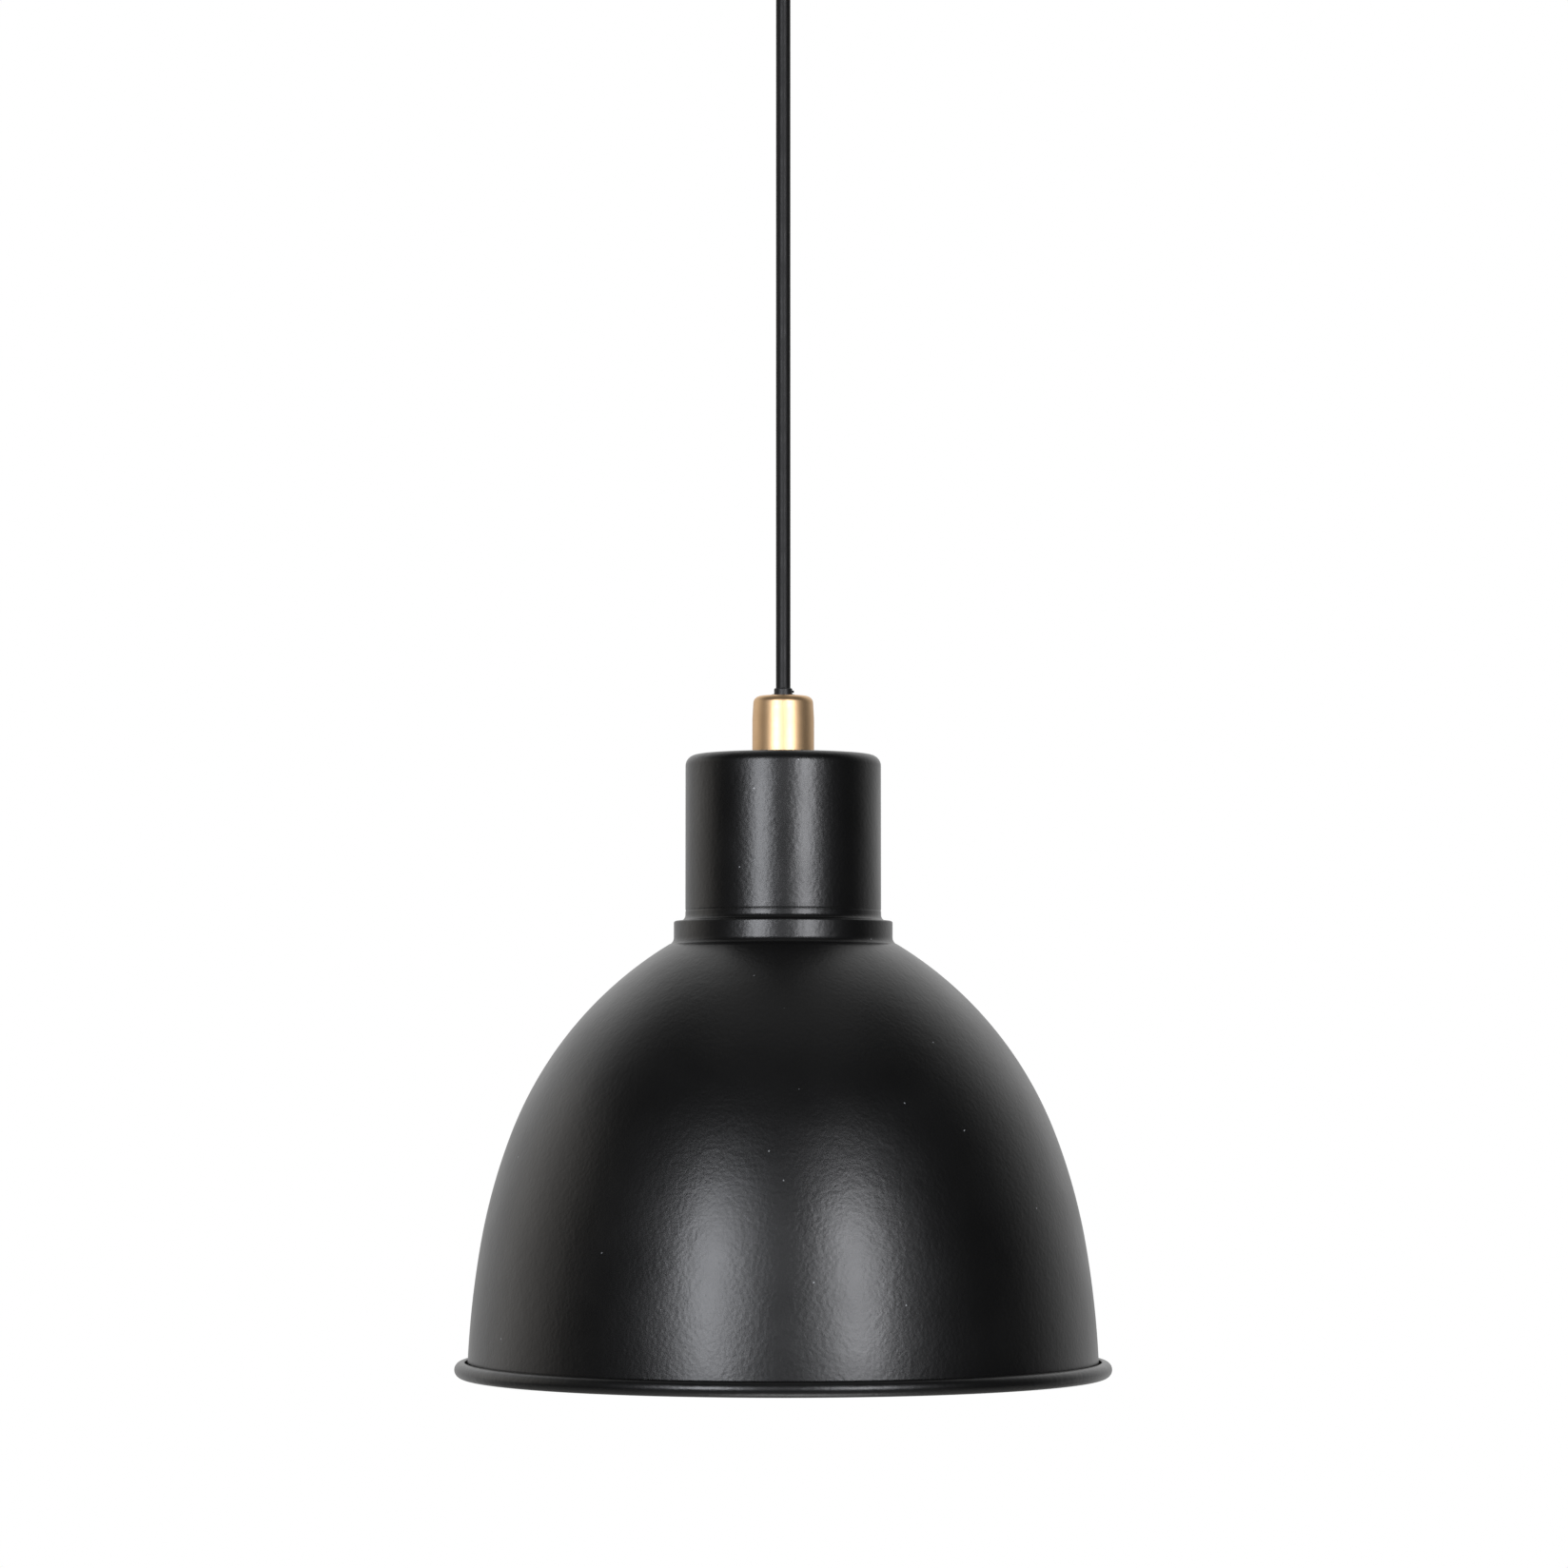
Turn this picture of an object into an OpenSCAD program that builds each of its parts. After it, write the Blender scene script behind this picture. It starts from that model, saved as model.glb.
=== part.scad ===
// Pendant ceiling light: a black metal dome with a rolled rim, a cylindrical neck cap,
// a brass cord grip, a round flex and a ceiling cup. Millimetres, +Z up, z = 0 is the ceiling.

/* [Shade] */
// Outermost radius of the rolled rim
rim_r = 125; // [110:1:150]
// Thickness of the spun sheet
sheet_t = 1.0; // [0.8:0.1:1.2]
// Outside radius of the rolled bead at the rim
bead_r = 3.0; // [2.6:0.1:3.6]
// Radius of the nearly straight lower wall, in section
wall_arc_r = 360; // [330:5:400]
// Radius of the shoulder, in section
shoulder_arc_r = 220; // [200:5:240]
// Radius of the crown, in section
crown_arc_r = 145; // [130:1:160]

/* [Neck cap] */
// Outside radius of the neck
neck_r = 37.45; // [34:0.05:45]
// Height of the neck above its collar
neck_h = 63.6; // [52:0.1:77]
// Rounding of the neck's top edge
neck_edge_r = 4.2; // [2:0.1:5]
// How far the collar stands out from the neck
collar_step = 4.4; // [3.6:0.1:6]
// Height of the collar
collar_h = 8.9; // [7:0.1:11]
// Thickness of the neck's wall
neck_wall = 1.2; // [1:0.1:1.6]

/* [Brass cord grip] */
// Outside radius of the brass sleeve
brass_r = 11.85; // [9.8:0.05:15]
// Height of the brass sleeve
brass_h = 22.7; // [20:0.1:27]
// Radius of the M10 thread
thread_r = 5.0; // [4.8:0.1:6]
// Wall of the hollow threaded tube
tube_wall = 1.4; // [1.2:0.1:1.7]

/* [Cord] */
// Outside diameter of the round flex
cord_d = 5.6; // [5:0.1:6.2]
// Radius of an insulated core
core_r = 1.05; // [0.9:0.05:1.1]

/* [Ceiling cup] */
// Outside radius of the cup
cup_r = 50; // [45:1:60]
// Height of the cup
cup_h = 50; // [42:1:60]
// Thickness of the cup's sheet
cup_wall = 1.0; // [0.8:0.1:1.4]
// Distance between the two ceiling screw holes
hole_span = 60; // [54:1:66]
// Radius of a ceiling screw hole
hole_r = 2.6; // [2.1:0.1:3.2]

/* [Lamp holder] */
// Outside radius of the threaded skirt
skirt_r = 19.5; // [18.8:0.1:21]
// Height of the skirt
skirt_h = 34; // [32:0.5:38]
// Outside radius of a shade ring
ring_r = 27; // [24:0.5:31]
// Inside radius of the socket's screw shell
socket_r = 13.6; // [13.5:0.1:13.9]

/* [Bulb] */
// Largest radius of the glass
glass_r = 30; // [25:0.5:34]
// Overall length from the foot contact to the glass's end
bulb_l = 105; // [96:1:112]
// Radius of the screw cap
bulb_cap_r = 13.1; // [12.6:0.1:13.2]

/* [Hidden] */
$fn = 96;

// The hanging cord's route, straight down from the ceiling grip's mouth. The first two
// stretches are where it bends when the lamp swings.
BEND_UPPER_ROUTE = [[0, 0, -62], [0, 0, -69], [0, 0, -76]];
BEND_LOWER_ROUTE = [[0, 0, -76], [0, 0, -83], [0, 0, -90]];
CORD_ROUTE = [
  [0, 0, -90], [0, 0, -105], [0, 0, -120], [0, 0, -135], [0, 0, -150], [0, 0, -165],
  [0, 0, -180], [0, 0, -195], [0, 0, -210], [0, 0, -225], [0, 0, -240], [0, 0, -255],
  [0, 0, -270], [0, 0, -285], [0, 0, -300], [0, 0, -315], [0, 0, -325], [0, 0, -335]
];
CORD_SIDES = 10;

// Clearances
FIT = 0.05;          // turned parts that slide together
LOOSE = 0.1;         // threads and moulded parts
OPEN = 0.5;          // parts that must not touch
HUGE = 400;          // longer than any section it cuts

// Screws that several pieces share
SMALL_SCREW_R = 1.25;
SLOT_W = 0.6;        // width of a screwdriver slot

// Section angles of the dome, measured up from horizontal at each arc's centre
WALL_LEAN = 2.5;
FOOT_ARC_R = 60;     // eases the upright bead into the leaning wall
SHOULDER_FROM = 9.7;
CROWN_FROM = 21.1;
CURL_END = 102;      // where the rolled bead's free edge stops

cord_r = cord_d / 2;

// Ceiling end
grip_h = 12;
grip_r = 9;
grip_mouth_r = 6.4;
grip_thread_l = 12;
nut_flat = 14;
nut_h = 3;
bracket_w = 20;
bracket_t = 1.5;
bracket_tab_l = 18;
side_screw_r = 2;
side_screw_drop = 11;
z_mouth = BEND_UPPER_ROUTE[0][2];
z_cup_floor = z_mouth + grip_h;
z_ceiling = z_cup_floor + cup_h;
tab_x = cup_r - cup_wall - 1.5;
nut_r = nut_flat / sqrt(3);

// Terminal block under the bracket
block_l = 24;
block_w = 18;
block_h = 15;
pole_x = 6;
clamp_screw_y = 4;
entry_r = 1.6;
clamp_r = 2.5;
z_block_top = z_ceiling - bracket_t;
z_block = z_block_top - block_h;
z_entry = z_block_top - block_h / 2;
z_sheath_end = z_ceiling - 32;

// Brass grip
bushing_lip_h = 3;
bushing_lip_r = cord_r + 0.7;
bushing_catch_r = 0.45;
bushing_catch_out = 0.7;
bushing_catch_drop = 1.3;
bushing_shank_l = 7;
collet_l = 5;
brass_edge_r = 2.8;
brass_taper = 0.35;
brass_taper_h = 9;
grip_bore_r = thread_r - 0.5;
z_bushing = CORD_ROUTE[len(CORD_ROUTE) - 1][2];
z_brass_top = z_bushing - bushing_lip_h;
z_neck_top = z_brass_top - brass_h;
z_tube_top = z_brass_top - bushing_shank_l - collet_l;

// Neck cap and dome
collar_r = neck_r + collar_step;
collar_edge_r = 0.8;
neck_fillet_r = 2.3;
collar_foot_r = 3;      // hollow round where the collar meets the dome
collar_foot_turn = 60;
z_collar_top = z_neck_top - neck_h;
z_seat = z_collar_top - collar_h;
foot_w = collar_foot_r * (1 - cos(collar_foot_turn));
seat_r = collar_r + foot_w + 0.2;
wall_r = rim_r - 2 * bead_r + sheet_t;
foot_c = [wall_r - FOOT_ARC_R, 0];
wall_c = foot_c + (FOOT_ARC_R - wall_arc_r) * [cos(WALL_LEAN), sin(WALL_LEAN)];
shoulder_c = wall_c + (wall_arc_r - shoulder_arc_r) * [cos(SHOULDER_FROM), sin(SHOULDER_FROM)];
crown_c = shoulder_c + (shoulder_arc_r - crown_arc_r) * [cos(CROWN_FROM), sin(CROWN_FROM)];
crown_end = acos((seat_r - crown_c[0]) / crown_arc_r);
dome_h = crown_c[1] + crown_arc_r * sin(crown_end);
z_rim = z_seat - dome_h;

// Lamp holder
ring_h = 6;
ring_grips = 12;
skirt_below = 13;
skirt_wall = 3.2;
skirt_bore_r = skirt_r - skirt_wall - 1.1;
joint_h = 6;
cap_wall = 2;
cap_r = skirt_r + 1;
cap_h = 26;
boss_h = 8;
boss_r = thread_r + 3;
insert_h = 10;
insert_boss_r = socket_r + 1.0;
contact_t = 0.8;
z_skirt = z_seat - skirt_below;
z_joint = z_skirt + skirt_h;
z_insert = z_joint + joint_h;
z_insert_top = z_insert + insert_h;
z_cap_top = z_joint + cap_h;
z_boss_top = z_cap_top + boss_h;
z_tail_end = z_cap_top - cap_wall - 1.5;
z_tube_end = z_cap_top;
holder_clamp_x = 10;
holder_clamp_h = 5;
grub_r = 1.5;

// Bulb, hanging from the socket's floor
cap_l = 25;
cap_t = 0.5;
foot_gap = 2.9;
foot_h = 1.4;
contact_r = 4.6;
contact_edge_r = 0.6;
insulator_h = 2.6;
glass_t = 0.8;
glass_neck_r = bulb_cap_r - cap_t - FIT;
glass_in_cap = 8;
neck_flare_r = 42;
z_foot = z_joint - foot_gap;
z_insulator = z_foot - foot_h;
z_cap = z_insulator - insulator_h;
z_cap_end = z_cap - cap_l;
z_globe = z_foot - bulb_l + glass_r;
filament_n = 4;
filament_r = 0.9;
filament_l = 34;
filament_circle = 8;
z_filaments = z_globe - 16;

// ---------- shared shapes ----------

// Upright round bar between two heights
module rod(r, z0, z1) {
  translate([0, 0, z0]) cylinder(r = r, h = z1 - z0);
}

// Upright tube between two heights
module pipe(r, bore, z0, z1) {
  difference() {
    rod(r, z0, z1);
    rod(bore, z0 - 1, z1 + 1);
  }
}

// Bar lying along X between two places
module bar_x(r, x0, x1, y, z) {
  translate([x0, y, z]) rotate([0, 90, 0]) cylinder(r = r, h = x1 - x0);
}

// Hexagon nut with a round bore
module hex_nut(flat_r, bore, z0, h) {
  difference() {
    translate([0, 0, z0]) cylinder(r = flat_r, h = h, $fn = 6);
    rod(bore, z0 - 1, z0 + h + 1);
  }
}

// Rectangle whose upper outer corner is rounded, for turning
module rounded_top(r, h, edge) {
  union() {
    square([r, h - edge]);
    square([r - edge, h]);
    translate([r - edge, h - edge]) circle(r = edge);
  }
}

// Points along an arc in a section, from one angle to another
function arc(centre, r, from, to, steps) = [
  for (i = [0:steps])
    let (a = from + (to - from) * i / steps) centre + r * [cos(a), sin(a)]
];

// Direction of a route at point i
function heading(route, i) =
  let (a = route[max(i - 1, 0)], b = route[min(i + 1, len(route) - 1)]) (b - a) / norm(b - a);

// A vector square to a direction, turned as little as possible from the reference
function square_to(ref, dir) = let (v = ref - (ref * dir) * dir) v / norm(v);

// Tube of radius r swept along a route by rings of points
module swept(route, r, sides, ref) {
  n = len(route);
  points = [
    for (i = [0:n - 1])
      let (dir = heading(route, i), u = square_to(ref, dir), v = cross(dir, u))
        for (k = [0:sides - 1])
          route[i] + r * (cos(360 * k / sides) * u + sin(360 * k / sides) * v)
  ];
  walls = [
    for (i = [0:n - 2], k = [0:sides - 1])
      let (j = (k + 1) % sides)
        [i * sides + k, (i + 1) * sides + k, (i + 1) * sides + j, i * sides + j]
  ];
  first = [for (k = [0:sides - 1]) k];
  last = [for (k = [sides - 1:-1:0]) (n - 1) * sides + k];
  polyhedron(points = points, faces = concat([first], walls, [last]), convexity = 4);
}

// Arc of route points round a centre, in the plane of two unit vectors
function bend(centre, r, u, v, from, to, steps) = [
  for (i = [0:steps])
    let (a = from + (to - from) * i / steps) centre + r * (cos(a) * u + sin(a) * v)
];

// ---------- ceiling end ----------

module ceiling_bracket() {
  color("silver") difference() {
    union() {
      translate([-tab_x, -bracket_w / 2, z_ceiling - bracket_t])
        cube([2 * tab_x, bracket_w, bracket_t]);
      for (side = [-1, 1])
        translate([side * (tab_x - bracket_t / 2) - bracket_t / 2, -bracket_w / 2,
                   z_ceiling - bracket_tab_l])
          cube([bracket_t, bracket_w, bracket_tab_l]);
    }
    for (side = [-1, 1])
      translate([side * hole_span / 2, 0, 0])
        rod(hole_r, z_ceiling - bracket_t - 1, z_ceiling + 1);
    bar_x(side_screw_r + LOOSE, -HUGE, HUGE, 0, z_ceiling - side_screw_drop);
    rod(SMALL_SCREW_R + LOOSE, z_ceiling - bracket_t - 1, z_ceiling + 1);
  }
}

module canopy() {
  color("#1c1c1d") difference() {
    rotate_extrude() {
      translate([0, z_ceiling]) mirror([0, 1]) difference() {
        rounded_top(cup_r, cup_h, 3);
        translate([0, -1]) rounded_top(cup_r - cup_wall, cup_h - cup_wall + 1, 3 - cup_wall);
      }
    }
    rod(thread_r + LOOSE, z_cup_floor - 1, z_cup_floor + cup_wall + 1);
    bar_x(side_screw_r + LOOSE, -HUGE, HUGE, 0, z_ceiling - side_screw_drop);
  }
}

module canopy_screws() {
  color("#2a2a2b") for (side = [0, 180])
    rotate([0, 0, side]) {
      bar_x(side_screw_r, tab_x - 6, cup_r + 0.2, 0, z_ceiling - side_screw_drop);
      bar_x(3.4, cup_r, cup_r + 2, 0, z_ceiling - side_screw_drop);
    }
}

module ceiling_grip() {
  color("#161616") difference() {
    union() {
      rod(grip_r, z_mouth + grip_h / 2, z_cup_floor);
      translate([0, 0, z_mouth]) cylinder(r1 = grip_mouth_r, r2 = grip_r, h = grip_h / 2);
      rod(thread_r, z_cup_floor, z_cup_floor + grip_thread_l);
    }
    rod(cord_r + LOOSE, z_mouth - 1, z_cup_floor + grip_thread_l + 1);
    bar_x(grub_r + FIT, 0, grip_r + 1, 0, z_mouth + grip_h * 0.7);
  }
}

module ceiling_grip_nut() {
  color("silver")
    hex_nut(nut_r, thread_r + LOOSE, z_cup_floor + cup_wall, nut_h);
}

module ceiling_grip_screw() {
  color("#202020")
    bar_x(grub_r, cord_r + LOOSE, grip_r + 0.8, 0, z_mouth + grip_h * 0.7);
}

module terminal_block() {
  color("ivory") difference() {
    union() {
      translate([-block_l / 2, -block_w / 2, z_block]) cube([block_l, block_w, block_h - 3]);
      translate([-block_l / 2, -block_w / 2 + 3, z_block]) cube([block_l, block_w - 6, block_h]);
    }
    for (side = [-1, 1]) translate([side * pole_x, 0, 0]) {
      translate([0, -HUGE / 2, z_entry]) rotate([-90, 0, 0])
        cylinder(r = clamp_r + LOOSE, h = HUGE);
      for (end = [-1, 1]) translate([0, end * clamp_screw_y, 0])
        rod(grub_r + 0.4, z_block - 1, z_entry);
    }
    rod(SMALL_SCREW_R + LOOSE, z_block - 1, z_block_top + 1);
    rod(2.7, z_block - 1, z_block + 4);
  }
}

module terminal_clamps() {
  color("goldenrod") for (side = [-1, 1]) translate([side * pole_x, 0, z_entry])
    difference() {
      translate([0, -block_w / 2 + 1.5, 0]) rotate([-90, 0, 0])
        cylinder(r = clamp_r, h = block_w - 3);
      translate([0, -block_w, 0]) rotate([-90, 0, 0]) cylinder(r = entry_r, h = 2 * block_w);
      for (end = [-1, 1]) translate([0, end * clamp_screw_y, -clamp_r - 1])
        cylinder(r = grub_r + FIT, h = 3);
    }
}

module terminal_screws() {
  color("silver") for (x = [-1, 1], y = [-1, 1]) translate([x * pole_x, y * clamp_screw_y, 0])
    difference() {
      rod(grub_r, z_block + 2, z_entry - core_r - 0.15);
      translate([-SLOT_W / 2, -2, z_block + 1]) cube([SLOT_W, 4, 1.8]);
    }
}

module block_screw() {
  color("silver") difference() {
    union() {
      rod(SMALL_SCREW_R, z_block + 2, z_ceiling - 0.2);
      rod(2.5, z_block + 1, z_block + 3.2);
    }
    translate([-SLOT_W / 2, -3, z_block]) cube([SLOT_W, 6, 1.8]);
  }
}

module supply_cord() {
  color("#141414") rod(cord_r, z_mouth, z_sheath_end);
}

// One insulated core, from the sheath's end to a pole of the terminal block
module supply_core(side) {
  r = 7;
  turn_x = side * pole_x;
  start = [side * 1.3, 0, z_sheath_end];
  corner = [turn_x, -block_w / 2 - r, z_entry - r];
  out = [0, -1, 0];
  up = [0, 0, 1];
  swept(
    concat(
      [start, start + [0, 0, 1], start + [side * 0.4, -1, 3.2], start + [side * 1.6, -4.5, 5.6]],
      [corner + [-side * 1.2, 2.5 - r, -6.5], corner + [0, -r + 0.6, -3.2]],
      bend(corner, r, out, up, 0, 90, 5),
      [[turn_x, -4.5, z_entry]]
    ),
    core_r, 8, [1, 0, 0]
  );
}

module supply_core_brown() { color("#5a3420") supply_core(1); }

module supply_core_blue() { color("#3c6fa8") supply_core(-1); }

// ---------- cord ----------

module cord_bend_upper() { color("#141414") swept(BEND_UPPER_ROUTE, cord_r, CORD_SIDES, [1, 0, 0]); }

module cord_bend_lower() { color("#141414") swept(BEND_LOWER_ROUTE, cord_r, CORD_SIDES, [1, 0, 0]); }

module cord() { color("#141414") swept(CORD_ROUTE, cord_r, CORD_SIDES, [1, 0, 0]); }

// ---------- brass grip and the tube through the neck ----------

module cord_bushing() {
  color("#171717") difference() {
    union() {
      rod(bushing_lip_r, z_brass_top, z_bushing);
      rod(grip_bore_r - FIT, z_brass_top - bushing_shank_l, z_brass_top + 0.6);
      bar_x(bushing_catch_r, cord_r, bushing_lip_r + bushing_catch_out, 0,
            z_bushing - bushing_catch_drop);
    }
    rod(cord_r + FIT, z_brass_top - bushing_shank_l - 1, z_bushing + 1);
  }
}

module cord_tail() { color("#141414") rod(cord_r, z_tail_end, z_bushing); }

module brass_grip() {
  color("#c9a063") difference() {
    rotate_extrude() translate([0, z_neck_top]) intersection() {
      rounded_top(brass_r, brass_h, brass_edge_r);
      polygon([[0, 0], [brass_r, 0], [brass_r, brass_h - brass_taper_h],
               [brass_r - brass_taper, brass_h], [0, brass_h]]);
    }
    rod(thread_r + FIT, z_neck_top - 1, z_tube_top);
    rod(grip_bore_r, z_tube_top - 1, z_brass_top + 1);
  }
}

module grip_collet() {
  color("#d8d4c8") difference() {
    translate([0, 0, z_tube_top])
      cylinder(r1 = grip_bore_r - FIT, r2 = grip_bore_r - 0.7, h = collet_l);
    rod(cord_r + FIT, z_tube_top - 1, z_tube_top + collet_l + 1);
    for (a = [0:60:300]) rotate([0, 0, a])
      translate([0, -0.3, z_tube_top + 2]) cube([thread_r, 0.6, collet_l]);
  }
}

module threaded_tube() {
  color("silver") pipe(thread_r, thread_r - tube_wall, z_tube_end, z_tube_top);
}

module lock_washer() {
  color("silver")
    pipe(thread_r + 4, thread_r + LOOSE, z_neck_top - neck_wall - 0.8, z_neck_top - neck_wall);
}

module tube_nut() {
  color("silver")
    hex_nut(nut_r, thread_r + LOOSE, z_neck_top - neck_wall - 0.8 - nut_h, nut_h);
}

// ---------- neck cap and shade ----------

// Filled section of the neck cap, shrunk all round by inset
module neck_section(inset) {
  union() {
    translate([0, z_seat])
      rounded_top(neck_r - inset, neck_h + collar_h - inset, neck_edge_r - inset);
    translate([0, z_seat])
      rounded_top(collar_r - inset, collar_h - inset, max(collar_edge_r - inset, 0.1));
    translate([neck_r - inset, z_collar_top - inset]) difference() {
      square(neck_fillet_r);
      translate([neck_fillet_r, neck_fillet_r]) circle(r = neck_fillet_r);
    }
  }
}

// Section of the hollow round that flares the collar's foot out to the dome
module collar_foot() {
  rise = collar_foot_r * sin(collar_foot_turn);
  translate([collar_r - neck_wall / 2, z_seat]) difference() {
    square([neck_wall / 2 + foot_w, rise]);
    translate([neck_wall / 2 + collar_foot_r, rise]) circle(r = collar_foot_r);
  }
}

module neck_cap() {
  color("#1a1a1b") difference() {
    rotate_extrude() {
      difference() {
        neck_section(0);
        neck_section(neck_wall);
      }
      collar_foot();
    }
    rod(collar_r - neck_wall, z_seat - 1, z_seat + 0.5);
    rod(thread_r + LOOSE, z_neck_top - neck_wall - 1, z_neck_top + 1);
  }
}

// One face of the dome's sheet, from the crown down to the bead, set in from the outside
function dome_face(inset) =
  let (top = asin((dome_h - inset - crown_c[1]) / (crown_arc_r - inset)))
    concat(
      arc(crown_c, crown_arc_r - inset, top, CROWN_FROM + 2, 15),
      arc(shoulder_c, shoulder_arc_r - inset, CROWN_FROM, SHOULDER_FROM + 2, 6),
      arc(wall_c, wall_arc_r - inset, SHOULDER_FROM, WALL_LEAN + 1, 5),
      arc(foot_c, FOOT_ARC_R - inset, WALL_LEAN, 0, 2)
    );

// Points in the opposite order
function turned_round(points) = [for (i = [len(points) - 1:-1:0]) points[i]];

// The sheet runs down the dome, turns out and up round a small circle, and stops short of the wall
module shade() {
  curl_c = [rim_r - bead_r, 0];
  curl_to = 360 + CURL_END;
  outline = concat(
    [[skirt_r + OPEN, dome_h]],
    dome_face(0),
    arc(curl_c, bead_r - sheet_t, 190, curl_to, 26),
    arc(curl_c, bead_r, curl_to, 190, 26),
    turned_round(dome_face(sheet_t)),
    [[skirt_r + OPEN, dome_h - sheet_t]]
  );
  color("#1a1a1b") translate([0, 0, z_rim]) rotate_extrude($fn = 180) polygon(outline);
}

// ---------- lamp holder ----------

module holder_cap() {
  color("#202020") difference() {
    union() {
      translate([0, 0, z_joint]) rotate_extrude() rounded_top(cap_r, cap_h, 4);
      rod(boss_r, z_cap_top - 1, z_boss_top);
    }
    rod(cap_r - cap_wall, z_joint - 1, z_cap_top - cap_wall);
    rod(thread_r + FIT, z_cap_top - cap_wall - 1, z_boss_top + 1);
    bar_x(grub_r + FIT, 0, boss_r + 1, 0, z_cap_top + boss_h / 2);
  }
}

module holder_grub_screw() {
  color("silver") bar_x(grub_r, thread_r + FIT, boss_r + 0.3, 0, z_cap_top + boss_h / 2);
}

module holder_insert() {
  color("#ece8dc") difference() {
    union() {
      rod(cap_r - cap_wall - 0.2, z_insert, z_insert_top);
      rod(insert_boss_r, z_joint, z_insert + 1);
    }
    for (side = [-1, 1]) translate([side * holder_clamp_x, 0, 0])
      rod(1.2, z_joint + 2, z_insert_top + 1);
  }
}

module holder_clamps() {
  color("goldenrod") for (side = [-1, 1]) translate([side * holder_clamp_x, 0, z_insert_top])
    difference() {
      translate([-3, -3, 0]) cube([6, 6, holder_clamp_h]);
      translate([-4, 0, 2.4]) rotate([0, 90, 0]) cylinder(r = core_r + 0.15, h = 8);
      translate([0, 0, 3]) cylinder(r = SMALL_SCREW_R + FIT, h = 4);
    }
}

module holder_clamp_screws() {
  color("silver") for (side = [-1, 1]) translate([side * holder_clamp_x, 0, z_insert_top])
    difference() {
      union() {
        translate([0, 0, 2.4 + core_r + 0.2]) cylinder(r = SMALL_SCREW_R, h = 3);
        translate([0, 0, holder_clamp_h + 0.1]) cylinder(r = 2.2, h = 1.2);
      }
      translate([-3, -SLOT_W / 2, holder_clamp_h + 0.8]) cube([6, SLOT_W, 1]);
    }
}

// One insulated core inside the holder's cap, from the sheath's end to its clamp
module lamp_core(side) {
  z_in = z_insert_top + 2.4;
  x0 = 1.3;
  straight = 0.5;
  r = z_tail_end - straight - z_in;
  out = [side, 0, 0];
  up = [0, 0, 1];
  swept(
    concat(
      [[side * x0, 0, z_tail_end]],
      bend([side * (x0 + r), 0, z_tail_end - straight], r, -out, -up, 0, 90, 6),
      [[side * (holder_clamp_x - 0.5), 0, z_in]]
    ),
    core_r, 8, [0, 1, 0]
  );
}

module lamp_core_brown() { color("#5a3420") lamp_core(1); }

module lamp_core_blue() { color("#3c6fa8") lamp_core(-1); }

module centre_contact() {
  color("goldenrod") {
    translate([-6, -2.5, z_joint - 0.5]) cube([12, 5, 0.5]);
    translate([-6, -2.5, z_joint - 2.2]) cube([0.5, 5, 2]);
    translate([-6, -2.5, z_joint - 2.7]) cube([9, 5, 0.5]);
  }
}

module screw_contact() {
  color("goldenrod") pipe(socket_r + contact_t, socket_r, z_joint - cap_l - 3, z_joint);
}

module holder_skirt() {
  color("#202020") difference() {
    union() {
      rod(skirt_r, z_skirt, z_joint);
      rod(cap_r - cap_wall - LOOSE, z_joint - 0.5, z_insert);
    }
    rod(skirt_bore_r, z_skirt - 1, z_insert + 1);
  }
}

module shade_ring_upper() {
  color("#202020") pipe(ring_r, skirt_r + LOOSE, z_seat, z_seat + ring_h);
}

module shade_ring_lower() {
  z_top = z_seat - sheet_t;
  color("#202020") difference() {
    union() {
      rod(ring_r, z_top - ring_h, z_top);
      for (i = [0:ring_grips - 1]) rotate([0, 0, 360 * i / ring_grips])
        translate([ring_r, 0, z_top - ring_h]) cylinder(r = 1.2, h = ring_h - 1, $fn = 24);
    }
    rod(skirt_r + LOOSE, z_top - ring_h - 1, z_top + 1);
  }
}

// ---------- bulb ----------

module bulb_contact() {
  color("silver") translate([0, 0, z_insulator]) rotate_extrude()
    rounded_top(contact_r, foot_h, contact_edge_r);
}

module bulb_insulator() {
  color("#121212") translate([0, 0, z_cap]) cylinder(r1 = 11, r2 = 5, h = insulator_h);
}

module bulb_cap() {
  color("#c8c8c4") translate([0, 0, z_cap_end]) rotate_extrude() difference() {
    rounded_top(bulb_cap_r, cap_l, 2);
    translate([0, -1]) rounded_top(bulb_cap_r - cap_t, cap_l - cap_t + 1, 1.5);
  }
}

// Filled section of the glass: a ball and a flared neck, shrunk all round by inset
module glass_section(inset) {
  r = glass_r - inset;
  flare = neck_flare_r + inset;
  neck = glass_neck_r - inset;
  reach = norm([neck + flare, 0]);
  drop = sqrt(pow(glass_r + neck_flare_r, 2) - reach * reach);
  top = z_cap_end + glass_in_cap - z_globe;
  foot = drop * r / (r + flare);
  foot_r = reach * r / (r + flare);
  union() {
    intersection() {
      circle(r = r, $fn = 180);
      translate([0, -glass_r - 1]) square([glass_r + 1, glass_r + 1 + foot]);
    }
    difference() {
      polygon([[0, 0], [foot_r, foot], [reach, drop], [neck, drop], [neck, top], [0, top]]);
      translate([reach, drop]) circle(r = flare, $fn = 240);
    }
  }
}

module bulb_glass() {
  color([0.9, 0.95, 1, 0.35]) translate([0, 0, z_globe]) rotate_extrude() difference() {
    glass_section(0);
    glass_section(glass_t);
    translate([0, z_cap_end + glass_in_cap - z_globe - 0.01]) square([glass_r, 1]);
  }
}

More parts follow.
